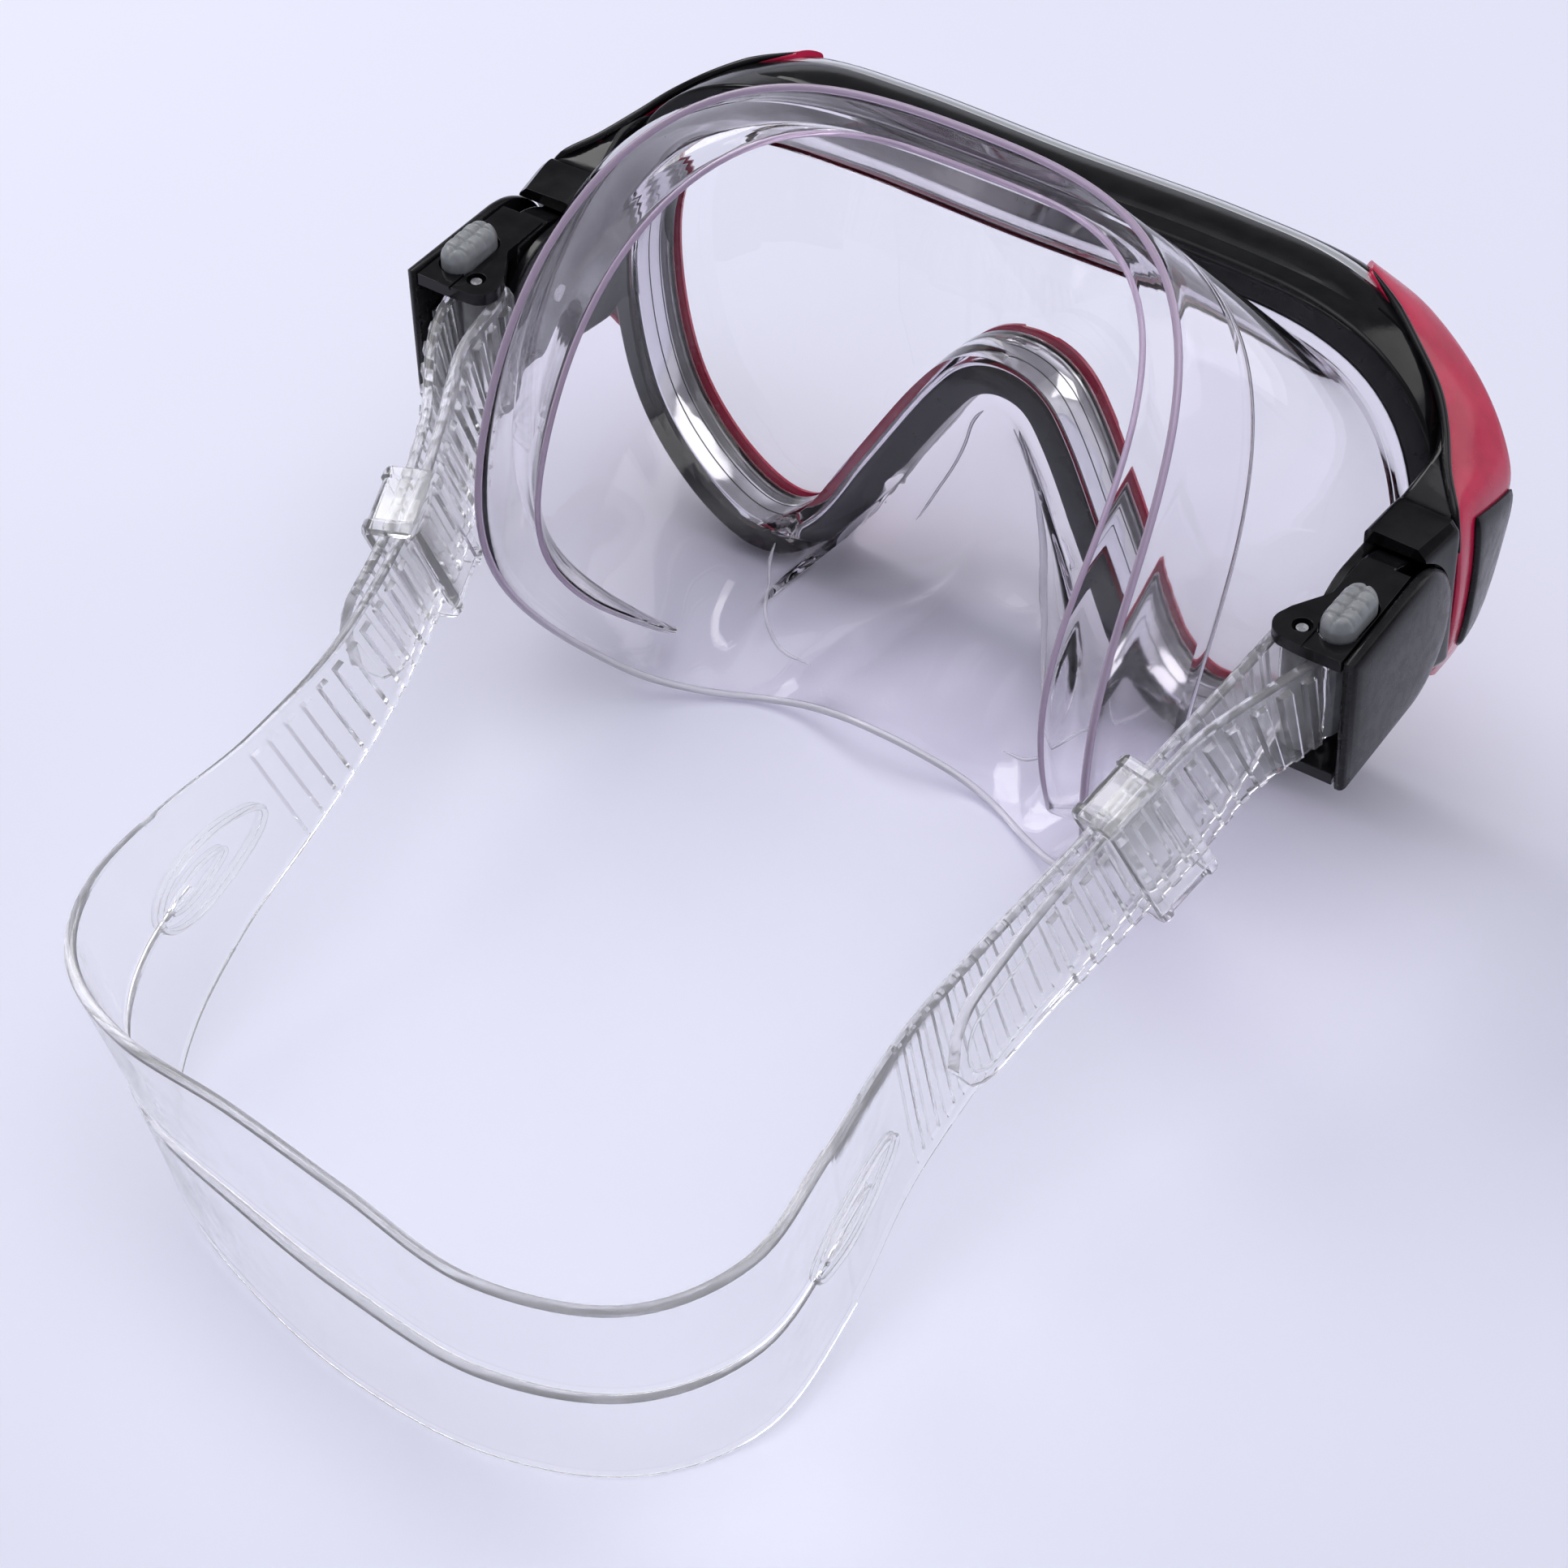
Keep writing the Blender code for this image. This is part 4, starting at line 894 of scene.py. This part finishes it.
def tail_stations(side):
    """The tail from its roller back through the keeper, beside the loop."""
    roller = Vector((side * (ROLLER_X + STRAP_TURN_R), ROLLER_Y, STRAP_Z))
    begin = 0.0 if side < 0 else len(STRAP) - 1.0
    end_place, keeper_place = TAIL_END[side], KEEPER[side]
    steps = 140
    out = []
    for k in range(steps + 1):
        place = begin + (end_place - begin) * k / steps
        middle, _, outward, up, _ = strap_frame(place)
        share = smooth_step((place - begin) / (keeper_place + 0.75 * side - begin))
        away = Vector((side * 2 * STRAP_TURN_R, 0, 0)) * (1 - share)
        beside = middle + outward * TAIL_SPACING * share + away
        if k == 0:
            beside, up, outward = roller, Vector((0, 0, 1)), Vector((side, 0, 0))
        out.append((beside, outward, up, STRAP_WIDTH))
    return out


class Ribbon:
    """A row of stations that can be read at any length along it."""

    def __init__(self, stations):
        self.stations = stations
        self.lengths = [0.0]
        for a, b in zip(stations, stations[1:]):
            self.lengths.append(self.lengths[-1] + (b[0] - a[0]).length)
        self.total = self.lengths[-1]

    def at(self, length):
        length = min(max(length, 0.0), self.total)
        low, high = 0, len(self.lengths) - 1
        while high - low > 1:
            mid = (low + high) // 2
            if self.lengths[mid] <= length:
                low = mid
            else:
                high = mid
        t = (length - self.lengths[low]) / max(self.lengths[high] - self.lengths[low], 1e-9)
        a, b = self.stations[low], self.stations[high]
        return (a[0].lerp(b[0], t), a[1].lerp(b[1], t).normalized(), a[2].lerp(b[2], t).normalized(),
                a[3] + (b[3] - a[3]) * t)


EDGE = [(-1.0, 0.35), (-0.985, 0.75), (-0.95, 1.0)]
RIB_LOW, RIB_HIGH, RIB_SLOPE, RIB_RISE = -0.9, 0.82, 0.04, 0.95
RIB_WIDTH, RIB_EDGE = 1.7, 0.3


def across_samples(ribbed):
    samples = [e[0] for e in EDGE]
    if ribbed:
        samples += [RIB_LOW, RIB_LOW + RIB_SLOPE, -0.4, 0.1, 0.5, RIB_HIGH - RIB_SLOPE, RIB_HIGH]
    else:
        samples += [-0.6, -0.3, 0.0, 0.3, 0.6]
    return samples + [-e[0] for e in reversed(EDGE)]


def edge_share(v):
    """Share of the thickness at a share of the half width: the band thins at its edges."""
    a = abs(v)
    pairs = [(-place, share) for place, share in reversed(EDGE)]
    if a <= pairs[0][0]:
        return 1.0
    for (v0, s0), (v1, s1) in zip(pairs, pairs[1:]):
        if a <= v1 + 1e-9:
            return s0 + (s1 - s0) * (a - v0) / (v1 - v0)
    return EDGE[0][1]


def band_section(station, low, high, lift, samples, narrow=1.0):
    """Closed section between two shares of the width; lift(v) raises the ribbed face."""
    middle, ribbed, up, width = station
    half = width / 2 * narrow
    front, back = [], []
    for v in samples:
        along = low + (v + 1) / 2 * (high - low)
        thick = STRAP_THICKNESS / 2 * edge_share(v)
        spot = middle + up * (half * along)
        front.append(spot + ribbed * (thick + lift(along)))
        back.append(spot - ribbed * thick)
    return front + list(reversed(back))


def rib_lift(place, start, stop):
    """Rise of the ribbed face at a length: a bar every pitch, sloped at its edges."""
    if place < start - 1e-6 or place > stop + 1e-6:
        return 0.0
    phase = (place - start) % RIB_PITCH
    if phase < RIB_EDGE:
        return phase / RIB_EDGE
    if phase < RIB_EDGE + RIB_WIDTH:
        return 1.0
    if phase < 2 * RIB_EDGE + RIB_WIDTH:
        return 1 - (phase - RIB_EDGE - RIB_WIDTH) / RIB_EDGE
    return 0.0


def rib_across(v):
    if v <= RIB_LOW or v >= RIB_HIGH:
        return 0.0
    return min(1.0, (v - RIB_LOW) / RIB_SLOPE, (RIB_HIGH - v) / RIB_SLOPE)


def length_samples(begin, end, ribs):
    """Lengths at which the band is sampled; every rib edge gets its own sample."""
    marks = {round(begin, 4), round(end, 4)}
    count = max(2, int((end - begin) / 2.2))
    for k in range(count + 1):
        place = begin + (end - begin) * k / count
        if not any(a - 1 < place < b + 1 for a, b in ribs):
            marks.add(round(place, 4))
    for a, b in ribs:
        k = 0
        while a + k * RIB_PITCH < b:
            for d in (0.0, RIB_EDGE, RIB_EDGE + RIB_WIDTH, 2 * RIB_EDGE + RIB_WIDTH, 3.2):
                place = a + k * RIB_PITCH + d
                if begin < place < end:
                    marks.add(round(place, 4))
            k += 1
    return sorted(marks)


def band(name, ribbon, begin, end, ribs, body, low=-1.0, high=1.0, capped=False, tip=None, bulge=None):
    """One stretch of the strap as a tube of sections, with ribs on one face."""
    samples = across_samples(bool(ribs))
    sections = []
    for place in length_samples(begin, end, ribs):
        station = ribbon.at(place)
        bars = max((rib_lift(place, a, b) for a, b in ribs), default=0.0)
        narrow = 1.0
        if tip and place > tip:
            narrow = math.sqrt(max(1 - ((place - tip) / (end - tip)) ** 2, 0.002))
        if bulge:
            station = (station[0] + station[1] * bulge(place), *station[1:])
        sections.append(band_section(station, low, high, lambda v: RIB_RISE * bars * rib_across(v), samples,
                                     narrow))
    bm = bmesh.new()
    rows = loft(bm, sections, ends="open")
    if capped:
        bm.faces.new(list(reversed(rows[-1])))
    orient(bm, sections)
    return piece(name, bm, "strap", body, angle=28, weld=False)


def orient(bm, sections):
    """Turn the faces outward by the first face of the tube."""
    bm.normal_update()
    centre = sum(sections[0], Vector()) / len(sections[0])
    bm.faces.ensure_lookup_table()
    face = bm.faces[1]
    if (face.calc_center_median() - centre).dot(face.normal) < 0:
        bmesh.ops.reverse_faces(bm, faces=bm.faces)


def ridge(name, ribbon, outline, face, radius, body, closed=True):
    """Raised line on the strap: outline holds (length, share of the half width)."""
    path = []
    for place, v in outline:
        middle, ribbed, up, width = ribbon.at(place)
        path.append(middle + up * (width / 2 * v) + ribbed * (face * STRAP_THICKNESS / 2))
    piece(name, tube(path, radius, closed, taper=not closed), "strap", body, angle=80)


def build_strap():
    main = Ribbon(main_stations())
    cuts = {side: round(KEEPER[side] * STATIONS) for side in SIDES}
    keeper_at = {side: main.lengths[cut] for side, cut in cuts.items()}
    total = main.total
    rib_left = (1.0, 91.0)
    rib_right = (total - 89.0, total - 1.0)
    slit = (112.0, 290.0)
    loop = band("strap_left_run", main, keeper_at[-1], slit[0], [rib_left], "mask")
    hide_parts("head_strap")
    for tag, low, high in (("upper", 0.012, 1.0), ("lower", -1.0, -0.012)):
        sign = 1 if tag == "upper" else -1

        def bulge(place, sign=sign):
            t = (place - slit[0]) / (slit[1] - slit[0])
            return 0.5 * sign * math.sin(math.pi * t) ** 2

        band("strap_band_" + tag, main, slit[0], slit[1], [], "mask", low, high, bulge=bulge)
    band("strap_right_run", main, slit[1], keeper_at[1], [rib_right], "mask")
    for side, name in SIDES.items():
        ends = (list(reversed(main.stations[:cuts[side] + 1])) if side < 0
                else main.stations[cuts[side]:])
        turn = turn_stations(side)
        tail = tail_stations(side)
        cut = min(range(len(tail)), key=lambda k: (tail[k][0] - ends[0][0]).length)
        full = Ribbon(ends + turn + tail)
        at_cut = full.lengths[len(ends) + len(turn) + cut]
        stop = full.total - 24.0 if side > 0 else full.total - 6.0
        phase = (full.lengths[len(ends) - 1] - 1.0) % RIB_PITCH
        ribs = [(phase, stop)]
        end_band = band("strap_end_" + name, full, 0.0, at_cut, ribs, None)
        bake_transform(end_band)
        band("strap_tail_" + name, full, at_cut, full.total, ribs, "mask", capped=True,
             tip=full.total - 8.5)
        if side > 0:
            u_line = ([(full.total - 22 + 0.7 * k, 0.62) for k in range(22)]
                      + [(full.total - 7.2 + 4.6 * math.sin(a), 0.62 * math.cos(a))
                         for a in [math.pi * k / 16 for k in range(1, 16)]]
                      + [(full.total - 7.2 - 0.7 * k, -0.62) for k in range(22)])
            ridge("strap_tail_line_" + name, full, u_line, 1, 0.32, "mask", closed=False)
    for name, place in (("left", 107.5), ("right", 294.0)):
        outward = -1 if name == "left" else 1
        width = main.at(place)[3]
        for face, tag in ((1, "inner"), (-1, "outer")):
            outer = [(place + 13.0 * math.cos(a), 8.6 / width * math.sin(a))
                     for a in [2 * math.pi * k / 48 for k in range(48)]]
            ridge("strap_rim_%s_%s" % (name, tag), main, outer, face, 0.55, "mask")
            slot = [(place - outward * 3.0 + 7.0 * math.cos(a), 3.0 / width * math.sin(a))
                    for a in [2 * math.pi * k / 36 for k in range(36)]]
            ridge("strap_slot_%s_%s" % (name, tag), main, slot, face, 0.4, "mask")


def build_keeper(side, name):
    """Clear sleeve with rounded corners and a slightly raised lip at each mouth."""
    middle, run, outward, up, _ = strap_frame(KEEPER[side])
    centre = middle + outward * TAIL_SPACING / 2
    along, through, across = 12.5, 10.0, 25.0

    def loop(hx, hz, r):
        corners = [(hx - r, hz - r, 0, 90), (-hx + r, hz - r, 90, 180), (-hx + r, -hz + r, 180, 270),
                   (hx - r, -hz + r, 270, 360)]
        return [p for cx, cz, a, b in corners for p in arc(cx, cz, r, a, b, 6)]

    bm = bmesh.new()
    mouth = [(0.0, 0.7), (0.25, 0.2), (0.8, 0.0), (2.0, 0.0), (2.4, 0.35)]
    outer = [(t - along / 2, inset) for t, inset in mouth]
    outer += [(along / 2 - t, inset) for t, inset in reversed(mouth)]
    sections = [(t, loop(through / 2 - inset, across / 2 - inset, 2.0)) for t, inset in outer]
    for t, flare in ((along / 2, 0.3), (along / 2 - 0.6, 0.0), (-along / 2 + 0.6, 0.0), (-along / 2, 0.3)):
        sections.append((t, loop(KEEPER_BORE[0] + flare, KEEPER_BORE[1] + flare, 0.9)))
    loft(bm, [[centre + run * t + outward * a + up * b for a, b in outline] for t, outline in sections],
         ends="ring")
    piece("keeper_sleeve_" + name, bm, "keeper", "keeper_" + name, "keeper_" + name, angle=35)


# ---- assembly ----

build_front()
build_brow()
build_sides()
build_skirt()
for SIDE, NAME in SIDES.items():
    build_chassis(SIDE, NAME)
    build_cover(SIDE, NAME)
    build_roller(SIDE, NAME)
    build_button(SIDE, NAME)
    build_keeper(SIDE, NAME)
    for PIN in ("swivel_pin_", "roller_pin_", "pawl_pin_", "pawl_spring_"):
        keep_cad(PIN + NAME, "steel")
    keep_cad("ratchet_pawl_" + NAME, "grey")
build_strap()


# ---- stage, light and camera ----

def build_stage():
    bm = bmesh.new()
    bmesh.ops.create_grid(bm, x_segments=1, y_segments=1, size=3.0)
    mesh = bpy.data.meshes.new("floor")
    bm.to_mesh(mesh)
    bm.free()
    floor = bpy.data.objects.new("floor", mesh)
    bpy.context.scene.collection.objects.link(floor)
    mat = material("pale_table", (0.74, 0.745, 0.86), 0.6, Specular_IOR_Level=0.25)
    vary_colour(mat, 3.0, (0.735, 0.74, 0.855), (0.75, 0.755, 0.87))
    mesh.materials.append(mat)
    floor.location.z = -0.0002


def area_light(name, place, target, size, energy, colour):
    light = bpy.data.lights.new(name, "AREA")
    light.shape = "SQUARE"
    light.size = size
    light.energy = energy
    light.color = colour
    obj = bpy.data.objects.new(name, light)
    obj.location = place
    obj.rotation_euler = (Vector(target) - Vector(place)).to_track_quat("-Z", "Y").to_euler()
    bpy.context.scene.collection.objects.link(obj)


def build_light():
    world = bpy.data.worlds.new("studio")
    world.use_nodes = True
    tree = world.node_tree
    back = tree.nodes["Background"]
    back.inputs["Strength"].default_value = 1.44
    ramp = add_node(tree, "ValToRGB", height_in(tree, "Generated"), "Fac")
    ramp.color_ramp.interpolation = "EASE"
    stops = [(0.1, 0.5), (0.24, 0.15), (0.6, 0.14), (1.0, 1.0)]
    for place, _ in stops[1:-1]:
        ramp.color_ramp.elements.new(place)
    for stop, (place, level) in zip(ramp.color_ramp.elements, stops):
        stop.position = place
        stop.color = (0.92 * level, 0.93 * level, level, 1.0)
    tree.links.new(ramp.outputs["Color"], back.inputs["Color"])
    bpy.context.scene.world = world
    area_light("key", (-0.75, 0.25, 0.85), (0, -0.02, 0.03), 0.55, 5.0, (1.0, 0.99, 0.98))
    area_light("top", (0.2, 0.1, 1.1), (0, 0, 0), 0.7, 1.6, (1.0, 1.0, 1.0))
    area_light("rim", (0.5, 0.9, 0.5), (0, 0, 0.05), 0.5, 1.2, (1.0, 1.0, 1.0))


FOCAL_SHARE = 5536 / 1932


def build_camera():
    a, e, r = math.radians(35.74), math.radians(44.0), math.radians(-1.79)
    back = Vector((math.sin(a) * math.cos(e), -math.cos(a) * math.cos(e), math.sin(e)))
    right0 = Vector((math.cos(a), math.sin(a), 0))
    up0 = back.cross(right0)
    right = right0 * math.cos(r) + up0 * math.sin(r)
    up = up0 * math.cos(r) - right0 * math.sin(r)
    place = right * -10.93 + up * -50.29 + back * 694.8
    cam = bpy.data.cameras.new("camera")
    cam.sensor_width = 36.0
    cam.lens = FOCAL_SHARE * cam.sensor_width
    cam.clip_start, cam.clip_end = 0.05, 20.0
    obj = bpy.data.objects.new("camera", cam)
    bpy.context.scene.collection.objects.link(obj)
    matrix = Matrix((right, up, back)).transposed().to_4x4()
    matrix.translation = (place + ORIGIN) * MM
    obj.matrix_world = matrix
    bpy.context.scene.camera = obj


build_stage()
build_light()
build_camera()
bpy.context.scene.view_settings.view_transform = "Standard"
